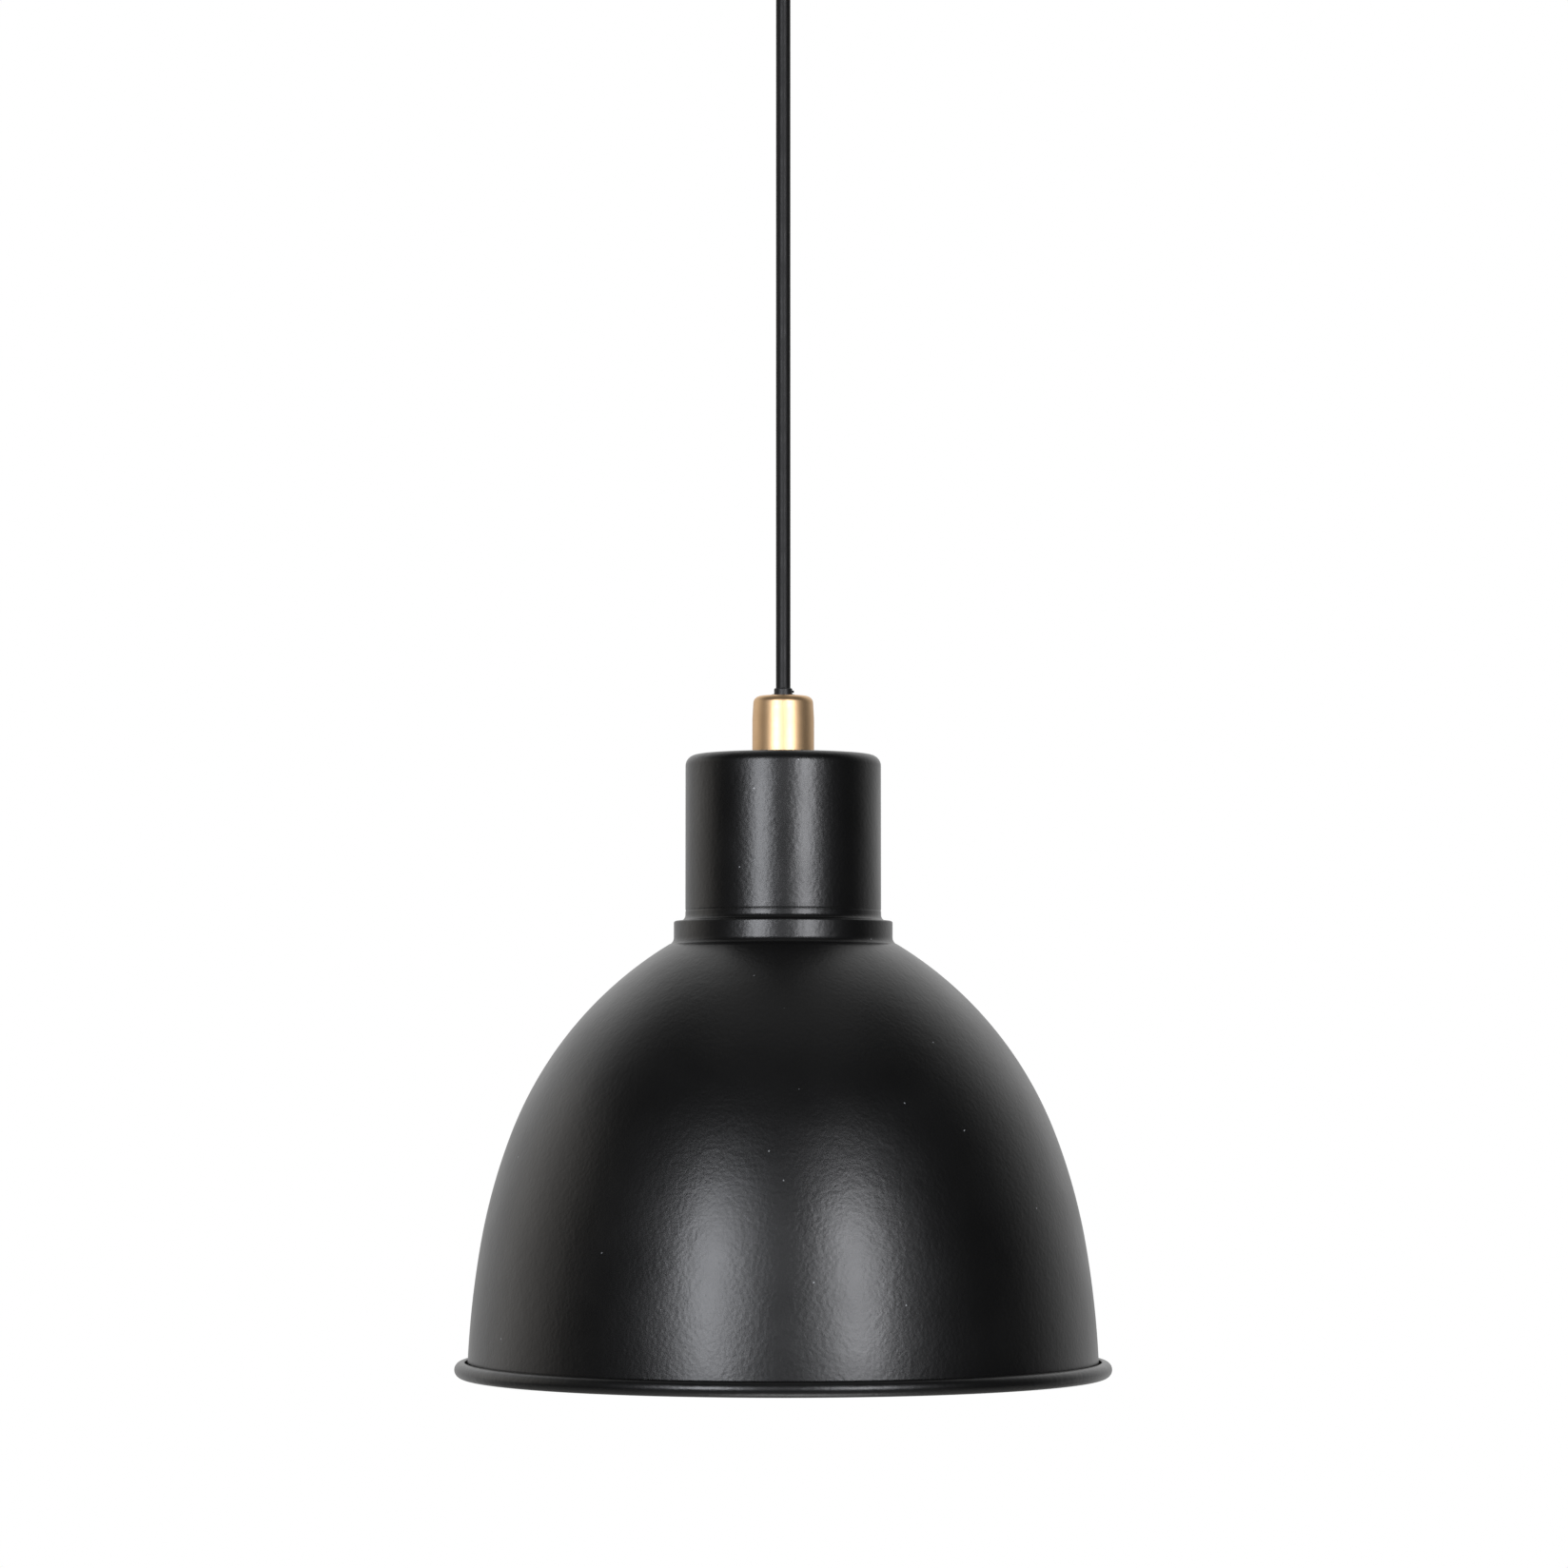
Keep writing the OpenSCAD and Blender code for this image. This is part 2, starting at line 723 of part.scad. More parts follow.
module bulb_stem() {
  color([0.85, 0.9, 0.95, 0.5]) union() {
    rod(glass_neck_r - glass_t - 0.3, z_cap_end - 2, z_cap_end - 0.8);
    translate([0, 0, z_cap_end - 16]) cylinder(r1 = 3, r2 = 8, h = 14.5);
    rod(1.8, z_globe - 6, z_cap_end - 15);
  }
}

module bulb_supports() {
  color("silver") {
    for (i = [0:filament_n - 1]) rotate([0, 0, 360 * (i + 0.5) / filament_n]) {
      bar_x(0.35, 1.8, filament_circle, 0, z_filaments + filament_l + 0.6);
    }
    pipe(filament_circle - 3.2, filament_circle - 3.9, z_filaments - 1.0, z_filaments - 0.4);
  }
}

module bulb_filaments() {
  lean = 5.2;
  color("#e8b23a") for (i = [0:filament_n - 1]) rotate([0, 0, 360 * (i + 0.5) / filament_n])
    translate([filament_circle - 3.5, 0, z_filaments]) rotate([0, lean, 0])
      cylinder(r = filament_r, h = filament_l);
}

ceiling_bracket();
canopy();
canopy_screws();
ceiling_grip();
ceiling_grip_nut();
ceiling_grip_screw();
terminal_block();
terminal_clamps();
terminal_screws();
block_screw();
supply_cord();
supply_core_brown();
supply_core_blue();
cord_bend_upper();
cord_bend_lower();
cord();
cord_bushing();
cord_tail();
brass_grip();
grip_collet();
threaded_tube();
lock_washer();
tube_nut();
neck_cap();
shade();
holder_cap();
holder_grub_screw();
holder_insert();
holder_clamps();
holder_clamp_screws();
lamp_core_brown();
lamp_core_blue();
centre_contact();
screw_contact();
holder_skirt();
shade_ring_upper();
shade_ring_lower();
bulb_contact();
bulb_insulator();
bulb_cap();
bulb_glass();
bulb_stem();
bulb_supports();
bulb_filaments();
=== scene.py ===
"""Looks of a pendant ceiling light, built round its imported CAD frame.

A black spun dome with a rolled rim hangs from a round flex by a brass cord grip. Every piece
takes its place from the CAD nodes' boxes. Sections are drawn in millimetres and turned into
meshes in metres.
"""
import logging
import math
from dataclasses import dataclass
from enum import Enum
from typing import Any, Callable, Optional, Sequence

import bmesh
import bpy
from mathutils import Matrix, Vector


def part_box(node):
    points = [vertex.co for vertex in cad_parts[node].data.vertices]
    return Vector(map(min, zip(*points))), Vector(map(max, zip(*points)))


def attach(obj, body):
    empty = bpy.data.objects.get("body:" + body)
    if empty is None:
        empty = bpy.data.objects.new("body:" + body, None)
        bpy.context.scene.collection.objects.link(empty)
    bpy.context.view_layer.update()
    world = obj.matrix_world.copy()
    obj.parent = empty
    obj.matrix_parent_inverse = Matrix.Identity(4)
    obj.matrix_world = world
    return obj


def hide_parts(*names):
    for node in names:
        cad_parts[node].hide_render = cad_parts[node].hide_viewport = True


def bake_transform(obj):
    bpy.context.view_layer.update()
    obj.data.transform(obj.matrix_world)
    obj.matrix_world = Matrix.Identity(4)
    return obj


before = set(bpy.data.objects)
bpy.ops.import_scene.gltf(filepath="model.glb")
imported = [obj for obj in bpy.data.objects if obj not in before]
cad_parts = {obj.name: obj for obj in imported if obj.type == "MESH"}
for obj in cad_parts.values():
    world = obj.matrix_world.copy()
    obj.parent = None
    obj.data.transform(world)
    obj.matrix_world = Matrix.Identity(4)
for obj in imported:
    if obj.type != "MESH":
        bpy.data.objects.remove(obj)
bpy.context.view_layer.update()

logging.basicConfig(level=logging.INFO, format="%(message)s")
LOG = logging.getLogger("pendant_light")

MM = 0.001
TURN = 2 * math.pi
SMOOTH_UNDER = math.radians(34)
# The smallest round that an inner corner keeps, in millimetres
LEAST_ROUND = 0.1

Point = tuple[float, float]
Section = list[Point]
Socket = bpy.types.NodeSocket
Shape = Callable[[float, float, float], Point]


# ---------------------------------------------------------------- sections


def arc(centre: Point, radius: float, start: float, stop: float, steps: int) -> Section:
    """Points along an arc in a section.

    Args:
        centre: The arc's centre, as distance from the axis and height.
        radius: Its radius.
        start: First angle in degrees, measured up from outwards.
        stop: Last angle in degrees.
        steps: How many stretches the arc is cut into.

    Returns:
        The points, both ends among them.
    """
    angles = [math.radians(start + (stop - start) * i / steps) for i in range(steps + 1)]
    return [(centre[0] + radius * math.cos(a), centre[1] + radius * math.sin(a)) for a in angles]


def rounded_corner(corner: Point, radius: float, steps: int) -> Section:
    """A quarter round that replaces an upper outer corner of a section.

    Args:
        corner: The sharp corner.
        radius: The round's radius.
        steps: How many stretches the round is cut into.

    Returns:
        The points, from the top down.
    """
    return arc((corner[0] - radius, corner[1] - radius), radius, 90, 0, steps)


def straight(start: tuple[float, ...], end: tuple[float, ...], steps: int) -> list[Vector]:
    """Evenly spaced points on a line.

    Args:
        start: Its first end.
        end: Its other end.
        steps: How many stretches it is cut into.

    Returns:
        The points, both ends among them.
    """
    return [Vector([a + (b - a) * i / steps for a, b in zip(start, end)]) for i in range(steps + 1)]


# ---------------------------------------------------------------- meshes


def as_piece(name: str, shell: bmesh.types.BMesh,
             materials: Sequence[bpy.types.Material]) -> bpy.types.Object:
    """Turns a bmesh into a smooth-shaded object.

    Args:
        name: The object's name.
        shell: The mesh to take over and free.
        materials: Its material slots, in order.

    Returns:
        The new object, linked to the scene.
    """
    bmesh.ops.recalc_face_normals(shell, faces=shell.faces)
    mesh = bpy.data.meshes.new(name)
    shell.to_mesh(mesh)
    shell.free()
    for material in materials:
        mesh.materials.append(material)
    mesh.shade_smooth()
    mesh.set_sharp_from_angle(angle=SMOOTH_UNDER)
    piece = bpy.data.objects.new(name, mesh)
    bpy.context.scene.collection.objects.link(piece)
    return piece


def turned(name: str, section: Section, datum: float, materials: Sequence[bpy.types.Material],
           segments: int = 128, shape: Optional[Shape] = None,
           finish_of: Optional[Callable[[int], int]] = None) -> bpy.types.Object:
    """Turns a closed section round the lamp's axis.

    Args:
        name: The object's name.
        section: Closed outline in millimetres, as distance from the axis and height.
        datum: Height in metres that the section's zero stands at.
        materials: Material slots.
        segments: Divisions round the axis.
        shape: Moves a point of the outline, given its radius, height and angle.
        finish_of: Gives the material slot of the outline's stretch with that index.

    Returns:
        The new object.
    """
    shell = bmesh.new()
    rings = []
    for radius, height in section:
        if radius < 1e-6:
            rings.append([shell.verts.new((0, 0, datum + height * MM))])
            continue
        ring = []
        for k in range(segments):
            angle = TURN * k / segments
            r, z = shape(radius, height, angle) if shape else (radius, height)
            ring.append(shell.verts.new((r * MM * math.cos(angle), r * MM * math.sin(angle),
                                         datum + z * MM)))
        rings.append(ring)
    for i, ring in enumerate(rings):
        after = rings[(i + 1) % len(rings)]
        slot = finish_of(i) if finish_of else 0
        for k in range(segments):
            corners = [ring[k % len(ring)], ring[(k + 1) % len(ring)],
                       after[(k + 1) % len(after)], after[k % len(after)]]
            corners = list(dict.fromkeys(corners))
            if len(corners) > 2:
                shell.faces.new(corners).material_index = slot
    return as_piece(name, shell, materials)


def tube(name: str, path: Sequence[Vector], radius: float, material: bpy.types.Material,
         sides: int = 24, swell: Optional[Callable[[float], float]] = None) -> bpy.types.Object:
    """Sweeps a round tube along a path, with closed ends.

    Args:
        name: The object's name.
        path: Centreline in metres.
        radius: Radius in metres.
        material: Its finish.
        sides: Sides round the tube.
        swell: Gives the radius's factor at a share of the way along the path.

    Returns:
        The new object.
    """
    shell = bmesh.new()
    count = len(path)
    heading = (path[1] - path[0]).normalized()
    side = heading.orthogonal().normalized()
    rings = []
    for i, point in enumerate(path):
        ahead = (path[min(i + 1, count - 1)] - path[max(i - 1, 0)]).normalized()
        side = heading.rotation_difference(ahead) @ side
        heading = ahead
        across = heading.cross(side)
        r = radius * (swell(i / (count - 1)) if swell else 1)
        rings.append([
            shell.verts.new(point + r * (math.cos(TURN * k / sides) * side
                                         + math.sin(TURN * k / sides) * across))
            for k in range(sides)
        ])
    for ring, after in zip(rings, rings[1:]):
        for k in range(sides):
            j = (k + 1) % sides
            shell.faces.new((ring[k], ring[j], after[j], after[k]))
    for ring in (rings[0], rings[-1]):
        shell.faces.new(ring)
    return as_piece(name, shell, [material])


def cut_slot(piece: bpy.types.Object, centre: Vector, size: Vector) -> None:
    """Cuts a rectangular slot out of a piece, as a screwdriver slot.

    Args:
        piece: The object to cut.
        centre: Middle of the slot, in metres.
        size: Its length along each axis, in metres.
    """
    cutter = bpy.data.meshes.new("slot_cutter")
    block = bmesh.new()
    bmesh.ops.create_cube(block, size=1)
    bmesh.ops.scale(block, vec=size, verts=block.verts)
    bmesh.ops.translate(block, vec=centre, verts=block.verts)
    block.to_mesh(cutter)
    block.free()
    tool = bpy.data.objects.new("slot_cutter", cutter)
    bpy.context.scene.collection.objects.link(tool)
    cut = piece.modifiers.new("slot", "BOOLEAN")
    cut.operation = "DIFFERENCE"
    cut.object = tool
    cut.solver = "EXACT"
    evaluated = piece.evaluated_get(bpy.context.evaluated_depsgraph_get())
    made = bpy.data.meshes.new_from_object(evaluated)
    piece.modifiers.clear()
    piece.data = made
    bpy.data.objects.remove(tool)


# ---------------------------------------------------------------- finishes


def linear(hex_colour: str) -> tuple[float, float, float, float]:
    """Turns an sRGB hex colour into linear RGBA."""
    channels = [int(hex_colour[i:i + 2], 16) / 255 for i in (1, 3, 5)]
    return (*[c / 12.92 if c <= 0.04045 else ((c + 0.055) / 1.055) ** 2.4 for c in channels], 1.0)


def add_node(tree: bpy.types.NodeTree, kind: str, settings: Optional[dict[Any, Any]] = None,
             links: Optional[dict[Any, Socket]] = None) -> bpy.types.Node:
    """Adds a node with its settings and links.

    Args:
        tree: The tree to add to.
        kind: The node's type.
        settings: Values by input name, input number, or property name.
        links: Sockets that feed its inputs, by input name or number.

    Returns:
        The new node.
    """
    node = tree.nodes.new(kind)
    for key, value in (settings or {}).items():
        if isinstance(key, int) or key in node.inputs:
            node.inputs[key].default_value = value
        else:
            setattr(node, key, value)
    for key, source in (links or {}).items():
        tree.links.new(source, node.inputs[key])
    return node


def per_metre(size_mm: float) -> float:
    """Pattern scale for features of a size in millimetres."""
    return 1 / (size_mm * MM)


@dataclass(frozen=True)
class Bench:
    """A material in the making: its tree, its shader, and the place that its patterns follow."""

    tree: bpy.types.NodeTree
    shader: bpy.types.Node
    place: Socket

    def noise(self, size_mm: float, settings: Optional[dict[str, float]] = None) -> Socket:
        """Adds noise that is the same size along every axis.

        Args:
            size_mm: Size of its features, in millimetres.
            settings: Its other values, by input name.

        Returns:
            Its height.
        """
        values = {"Scale": per_metre(size_mm), **(settings or {})}
        return add_node(self.tree, "ShaderNodeTexNoise", values, {"Vector": self.place}).outputs["Fac"]

    def streaks(self, sizes_mm: tuple[float, float, float], settings: dict[str, float]) -> Socket:
        """Adds noise that is drawn out along an axis.

        Args:
            sizes_mm: Size of its features along each axis, in millimetres.
            settings: Its other values, by input name.

        Returns:
            Its height.
        """
        scale = tuple(per_metre(size) for size in sizes_mm)
        drawn = add_node(self.tree, "ShaderNodeMapping", {"Scale": scale}, {"Vector": self.place})
        return add_node(self.tree, "ShaderNodeTexNoise", {"Scale": 1.0, **settings},
                        {"Vector": drawn.outputs[0]}).outputs["Fac"]

    def relief(self, height: Socket, depth_mm: float, under: Optional[Socket] = None) -> Socket:
        """Raises a pattern off the surface.

        Args:
            height: The pattern.
            depth_mm: How deep it is, in millimetres.
            under: The relief that it lies on.

        Returns:
            The surface's normal.
        """
        links = {"Height": height} if under is None else {"Height": height, "Normal": under}
        return add_node(self.tree, "ShaderNodeBump", {"Strength": 1.0, "Distance": depth_mm * MM},
                        links).outputs[0]

    def spread(self, pattern: Socket, taken: Point, given: Point) -> Socket:
        """Maps one range of a pattern to another.

        Args:
            pattern: The pattern.
            taken: The range's ends in the pattern.
            given: The values that they turn into.

        Returns:
            The mapped pattern.
        """
        return add_node(self.tree, "ShaderNodeMapRange",
                        {"From Min": taken[0], "From Max": taken[1], "To Min": given[0],
                         "To Max": given[1]}, {"Value": pattern}).outputs[0]

    def tinted(self, colour: str, other: str, share: Socket) -> Socket:
        """Mixes two colours.

        Args:
            colour: The first, in sRGB hex.
            other: The second.
            share: How much of the second shows.

        Returns:
            The mixed colour.
        """
        return add_node(self.tree, "ShaderNodeMix",
                        {"data_type": "RGBA", 6: linear(colour), 7: linear(other)},
                        {0: share}).outputs[2]

    def wear(self, sources: dict[str, Socket]) -> None:
        """Links patterns to the shader's inputs, by input name."""
        for name, source in sources.items():
            self.tree.links.new(source, self.shader.inputs[name])


@dataclass(frozen=True)
class Finish:
    """What a surface is made of, and how it was made.

    Each kind of finish adds its own pattern to one principled shader.
    """

    name: str
    colour: str
    roughness: float

    def material(self) -> bpy.types.Material:
        """Makes the finish's material once.

        Returns:
            The material.
        """
        found = bpy.data.materials.get(self.name)
        if found:
            return found
        made = bpy.data.materials.new(self.name)
        made.use_nodes = True
        made.diffuse_color = linear(self.colour)
        tree = made.node_tree
        tree.nodes.clear()
        place = add_node(tree, "ShaderNodeTexCoord").outputs["Object"]
        shader = add_node(tree, "ShaderNodeBsdfPrincipled",
                          {"Base Color": linear(self.colour), "Roughness": self.roughness})
        self.pattern(Bench(tree, shader, place))
        add_node(tree, "ShaderNodeOutputMaterial", links={"Surface": shader.outputs["BSDF"]})
        return made

    def about(self, less: float, more: float) -> Point:
        """A range round the roughness."""
        return self.roughness - less, self.roughness + more

    def pattern(self, bench: Bench) -> None:
        """Adds what this kind of finish shows up close."""
        raise NotImplementedError


@dataclass(frozen=True)
class PowderCoat(Finish):
    """Polyester powder coat, sprayed dry and baked: satin, with a slight orange peel.

    The peel is over a millimetre from crest to crest, on slow waves where the film ran thick
    and thin. A few specks of dust sit in it, drawn a little larger than life so that they show.
    """

    peel_mm: float = 1.6
    peel_depth: float = 0.07
    wave_mm: float = 6.0
    wave_depth: float = 0.06
    cloud_mm: float = 28.0
    speck_mm: float = 5.5
    speck_colour: str = "#7C7E80"
    speck_share: float = 0.07
    speck_size: float = 0.06

    def pattern(self, bench: Bench) -> None:
        """Orange peel in the height, clouds in the roughness, and rare dust specks.

        Args:
            bench: The material in the making.
        """
        peel = bench.noise(self.peel_mm, {"Detail": 2.0, "Roughness": 0.45})
        slow = bench.relief(bench.noise(self.wave_mm, {"Detail": 1.0}), self.wave_depth)
        cloud = bench.noise(self.cloud_mm, {"Detail": 3.0})
        cells = add_node(bench.tree, "ShaderNodeTexVoronoi", {"Scale": per_metre(self.speck_mm)},
                         {"Vector": bench.place})
        chosen = add_node(bench.tree, "ShaderNodeSeparateColor", links={0: cells.outputs["Color"]})
        near, rare = (
            add_node(bench.tree, "ShaderNodeMath", {"operation": "LESS_THAN", 1: limit},
                     {0: source}).outputs[0]
            for source, limit in ((cells.outputs["Distance"], self.speck_size),
                                  (chosen.outputs[0], self.speck_share)))
        speck = add_node(bench.tree, "ShaderNodeMath", {"operation": "MULTIPLY"}, {0: near, 1: rare})
        bench.wear({
            "Base Color": bench.tinted(self.colour, self.speck_colour, speck.outputs[0]),
            "Roughness": bench.spread(cloud, (0.3, 0.7), self.about(0.025, 0.025)),
            "Normal": bench.relief(peel, self.peel_depth, slow),
        })


@dataclass(frozen=True)
class TurnedMetal(Finish):
    """Metal turned on a lathe and brushed: fine rings round the axis that widen a highlight.

    The rings are tenths of a millimetre apart, drawn as coarse as they need to show.
    """

    ring_mm: float = 0.3
    ring_run_mm: float = 9.0
    ring_depth: float = 0.003
    tarnish_mm: float = 14.0
    tarnish: str = "#B58E5C"
    anisotropy: float = 0.5

    def pattern(self, bench: Bench) -> None:
        """Rings in the height and roughness, and a faint change of colour over the piece.

        Args:
            bench: The material in the making.
        """
        bench.shader.inputs["Metallic"].default_value = 1.0
        bench.shader.inputs["Anisotropic"].default_value = self.anisotropy
        rings = bench.streaks((self.ring_run_mm, self.ring_run_mm, self.ring_mm),
                              {"Detail": 4.0, "Roughness": 0.6})
        cloud = bench.noise(self.tarnish_mm, {"Detail": 3.0})
        share = bench.spread(cloud, (0.35, 0.75), (0.0, 0.25))
        tangent = add_node(bench.tree, "ShaderNodeTangent", {"direction_type": "RADIAL", "axis": "Z"})
        bench.wear({
            "Tangent": tangent.outputs[0],
            "Base Color": bench.tinted(self.colour, self.tarnish, share),
            "Roughness": bench.spread(rings, (0.25, 0.75), self.about(0.05, 0.06)),
            "Normal": bench.relief(rings, self.ring_depth),
        })


@dataclass(frozen=True)
class PlatedMetal(Finish):
    """Pressed metal with a thin plating: clouded sheen and fine grain.

    Zinc goes bluish in patches, nickel stays warm, and brass darkens where it was handled.
    """

    cloud_colour: str = "#8C9096"
    cloud_mm: float = 6.0
    grain_mm: float = 0.6
    grain_depth: float = 0.01

    def pattern(self, bench: Bench) -> None:
        """Patches in the colour and roughness over a fine grain in the height.

        Args:
            bench: The material in the making.
        """
        bench.shader.inputs["Metallic"].default_value = 1.0
        cloud = bench.noise(self.cloud_mm, {"Detail": 5.0})
        bench.wear({
            "Base Color": bench.tinted(self.colour, self.cloud_colour, cloud),
            "Roughness": bench.spread(cloud, (0.3, 0.7), self.about(0.06, 0.06)),
            "Normal": bench.relief(bench.noise(self.grain_mm), self.grain_depth),
        })


@dataclass(frozen=True)
class Moulded(Finish):
    """Plastic or glazed ware out of a mould: an even skin with a fine grain and flow marks."""

    grain_mm: float = 0.5
    grain_depth: float = 0.015
    flow_mm: float = 12.0
    flow_colour: str = "#202020"
    ior: float = 1.5

    def pattern(self, bench: Bench) -> None:
        """Mould grain in the height, and slow flow marks in the colour and roughness.

        Args:
            bench: The material in the making.
        """
        bench.shader.inputs["IOR"].default_value = self.ior
        grain = bench.noise(self.grain_mm, {"Detail": 3.0})
        flow = bench.noise(self.flow_mm, {"Distortion": 1.5})
        share = bench.spread(flow, (0.3, 0.8), (0.0, 0.3))
        bench.wear({
            "Base Color": bench.tinted(self.colour, self.flow_colour, share),
            "Roughness": bench.spread(flow, (0.3, 0.7), self.about(0.04, 0.04)),
            "Normal": bench.relief(grain, self.grain_depth),
        })


@dataclass(frozen=True)
class ExtrudedSheath(Finish):
    """Flexible PVC pulled through a die: satin, with faint lines along its run."""

    line_mm: float = 0.5
    line_run_mm: float = 30.0
    line_depth: float = 0.02
    mark_mm: float = 7.0
    specular: float = 0.35

    def pattern(self, bench: Bench) -> None:
        """Die lines along the run, and slight handling marks in the roughness.

        Args:
            bench: The material in the making.
        """
        bench.shader.inputs["Specular IOR Level"].default_value = self.specular
        lines = bench.streaks((self.line_mm, self.line_mm, self.line_run_mm), {"Detail": 2.0})
        marks = bench.noise(self.mark_mm, {"Detail": 4.0})
        bench.wear({
            "Roughness": bench.spread(marks, (0.3, 0.7), self.about(0.05, 0.05)),
            "Normal": bench.relief(lines, self.line_depth),
        })


@dataclass(frozen=True)
class BlownGlass(Finish):
    """Clear soda-lime glass, blown in a mould: smooth, with slow waves in its wall."""

    wave_mm: float = 16.0
    wave_depth: float = 0.05
    ior: float = 1.5

    def pattern(self, bench: Bench) -> None:
        """Full transmission and a slow wave in the height.

        Args:
            bench: The material in the making.
        """
        bench.shader.inputs["IOR"].default_value = self.ior
        bench.shader.inputs["Transmission Weight"].default_value = 1.0
        wave = bench.noise(self.wave_mm, {"Detail": 1.0})
        bench.wear({"Normal": bench.relief(wave, self.wave_depth)})


class Surface(Enum):
    """Every finish on the lamp."""

    # Baked polyester on spun steel sheet: soft highlights with a just visible peel.
    SHADE_COAT = PowderCoat("black_satin_powder_coat", "#090909", 0.34)
    # The same process in white inside the shade: bright and even, to throw the light down.
    INNER_COAT = PowderCoat("white_matt_powder_coat", "#EDEBE4", 0.52, speck_colour="#B9B6AE")
    # Baked polyester on pressed steel.
    CUP_COAT = PowderCoat("black_cup_powder_coat", "#0A0A0A", 0.38)
    # Free-cutting brass, turned and brushed, then lacquered: warm, with bands of light.
    BRASS = TurnedMetal("satin_turned_brass", "#E2BE93", 0.42, anisotropy=0.3)
    # Sheet brass, pressed and left plain: it carries current.
    CONTACT = PlatedMetal("pressed_contact_brass", "#C9A45A", 0.34, cloud_colour="#A88446")
    # Steel with bright zinc: cool grey with bluish patches.
    ZINC = PlatedMetal("bright_zinc_plate", "#B7BAC0", 0.36, cloud_colour="#8C9096")
    # Nickel over the bulb's brass cap.
    NICKEL = PlatedMetal("nickel_plated_cap", "#C9C4B8", 0.24, cloud_colour="#A8A498")
    # Lead-free tin solder, wiped while hot: dull and soft.
    SOLDER = PlatedMetal("tinned_solder", "#B4B4B0", 0.45, cloud_colour="#909090", grain_mm=1.2)
    # Polyamide, injection moulded: dull black skin.
    POLYAMIDE = Moulded("black_moulded_polyamide", "#0A0A0B", 0.5, flow_colour="#101010", ior=1.53)
    # Phenolic resin, pressed hot: deep black with a polish.
    PHENOLIC = Moulded("black_pressed_phenolic", "#18171A", 0.3, ior=1.6)
    # Vitrite in the bulb's foot: black glass.
    VITRITE = Moulded("black_vitrite_glass", "#0E0D12", 0.16, grain_depth=0.004, ior=1.6)
    # Glazed steatite: off-white and shiny.
    STEATITE = Moulded("glazed_steatite", "#E9E4D6", 0.22, flow_colour="#D8D0BC", ior=1.6)
    # Nylon, injection moulded without pigment: milky and dull.
    NYLON = Moulded("natural_moulded_nylon", "#E6E1D0", 0.45, flow_colour="#D6CFB8", ior=1.53)
    # Plasticised PVC over the flex.
    SHEATH = ExtrudedSheath("black_pvc_sheath", "#070707", 0.5)
    # The two cores' insulation.
    BROWN_CORE = ExtrudedSheath("brown_pvc_core", "#5E3620", 0.4, line_mm=0.3)
    BLUE_CORE = ExtrudedSheath("blue_pvc_core", "#2F62A6", 0.4, line_mm=0.3)
    # Phosphor in silicone over the LED strips.
    PHOSPHOR = Moulded("yellow_phosphor_silicone", "#E2A93C", 0.5, flow_colour="#D2932A", ior=1.41)
    # The bulb's wall and stem.
    GLASS = BlownGlass("clear_blown_glass", "#FFFFFF", 0.02)

    def coat(self) -> bpy.types.Material:
        """Gives the finish's material."""
        return self.value.material()


# ---------------------------------------------------------------- sub-assemblies


@dataclass
class SubAssembly:
    """A group of pieces that moves as one body."""

    body: str

    def place(self, piece: bpy.types.Object, slot: str, *nodes: str) -> bpy.types.Object:
        """Puts a finished piece on its body.

        Args:
            piece: The piece, already in its place.
            slot: Not used.
            nodes: CAD nodes that it stands for.

        Returns:
            The same piece.
        """
        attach(piece, self.body)
        if nodes:
            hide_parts(*nodes)
        LOG.info("%s: %s, %d faces", type(self).__name__, piece.name, len(piece.data.polygons))
        return piece

    def dress(self, surface: Surface, *nodes: str) -> None:
        """Gives CAD nodes a finish.

        Args:
            surface: The finish.
            nodes: The nodes that wear it.
        """
        for node in nodes:
            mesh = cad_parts[node].data
            mesh.materials.clear()
            mesh.materials.append(surface.coat())
            mesh.shade_smooth()
            mesh.set_sharp_from_angle(angle=SMOOTH_UNDER)
            LOG.info("%s: %s keeps its CAD shape", type(self).__name__, node)


def top_of(node: str) -> float:
    """Height of a CAD node's top, in metres."""
    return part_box(node)[1].z


def foot_of(node: str) -> float:
    """Height of a CAD node's lowest point, in metres."""
    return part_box(node)[0].z


def radius_of(node: str) -> float:
    """Largest radius of a CAD node that is round about the axis, in millimetres."""
    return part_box(node)[1].y / MM


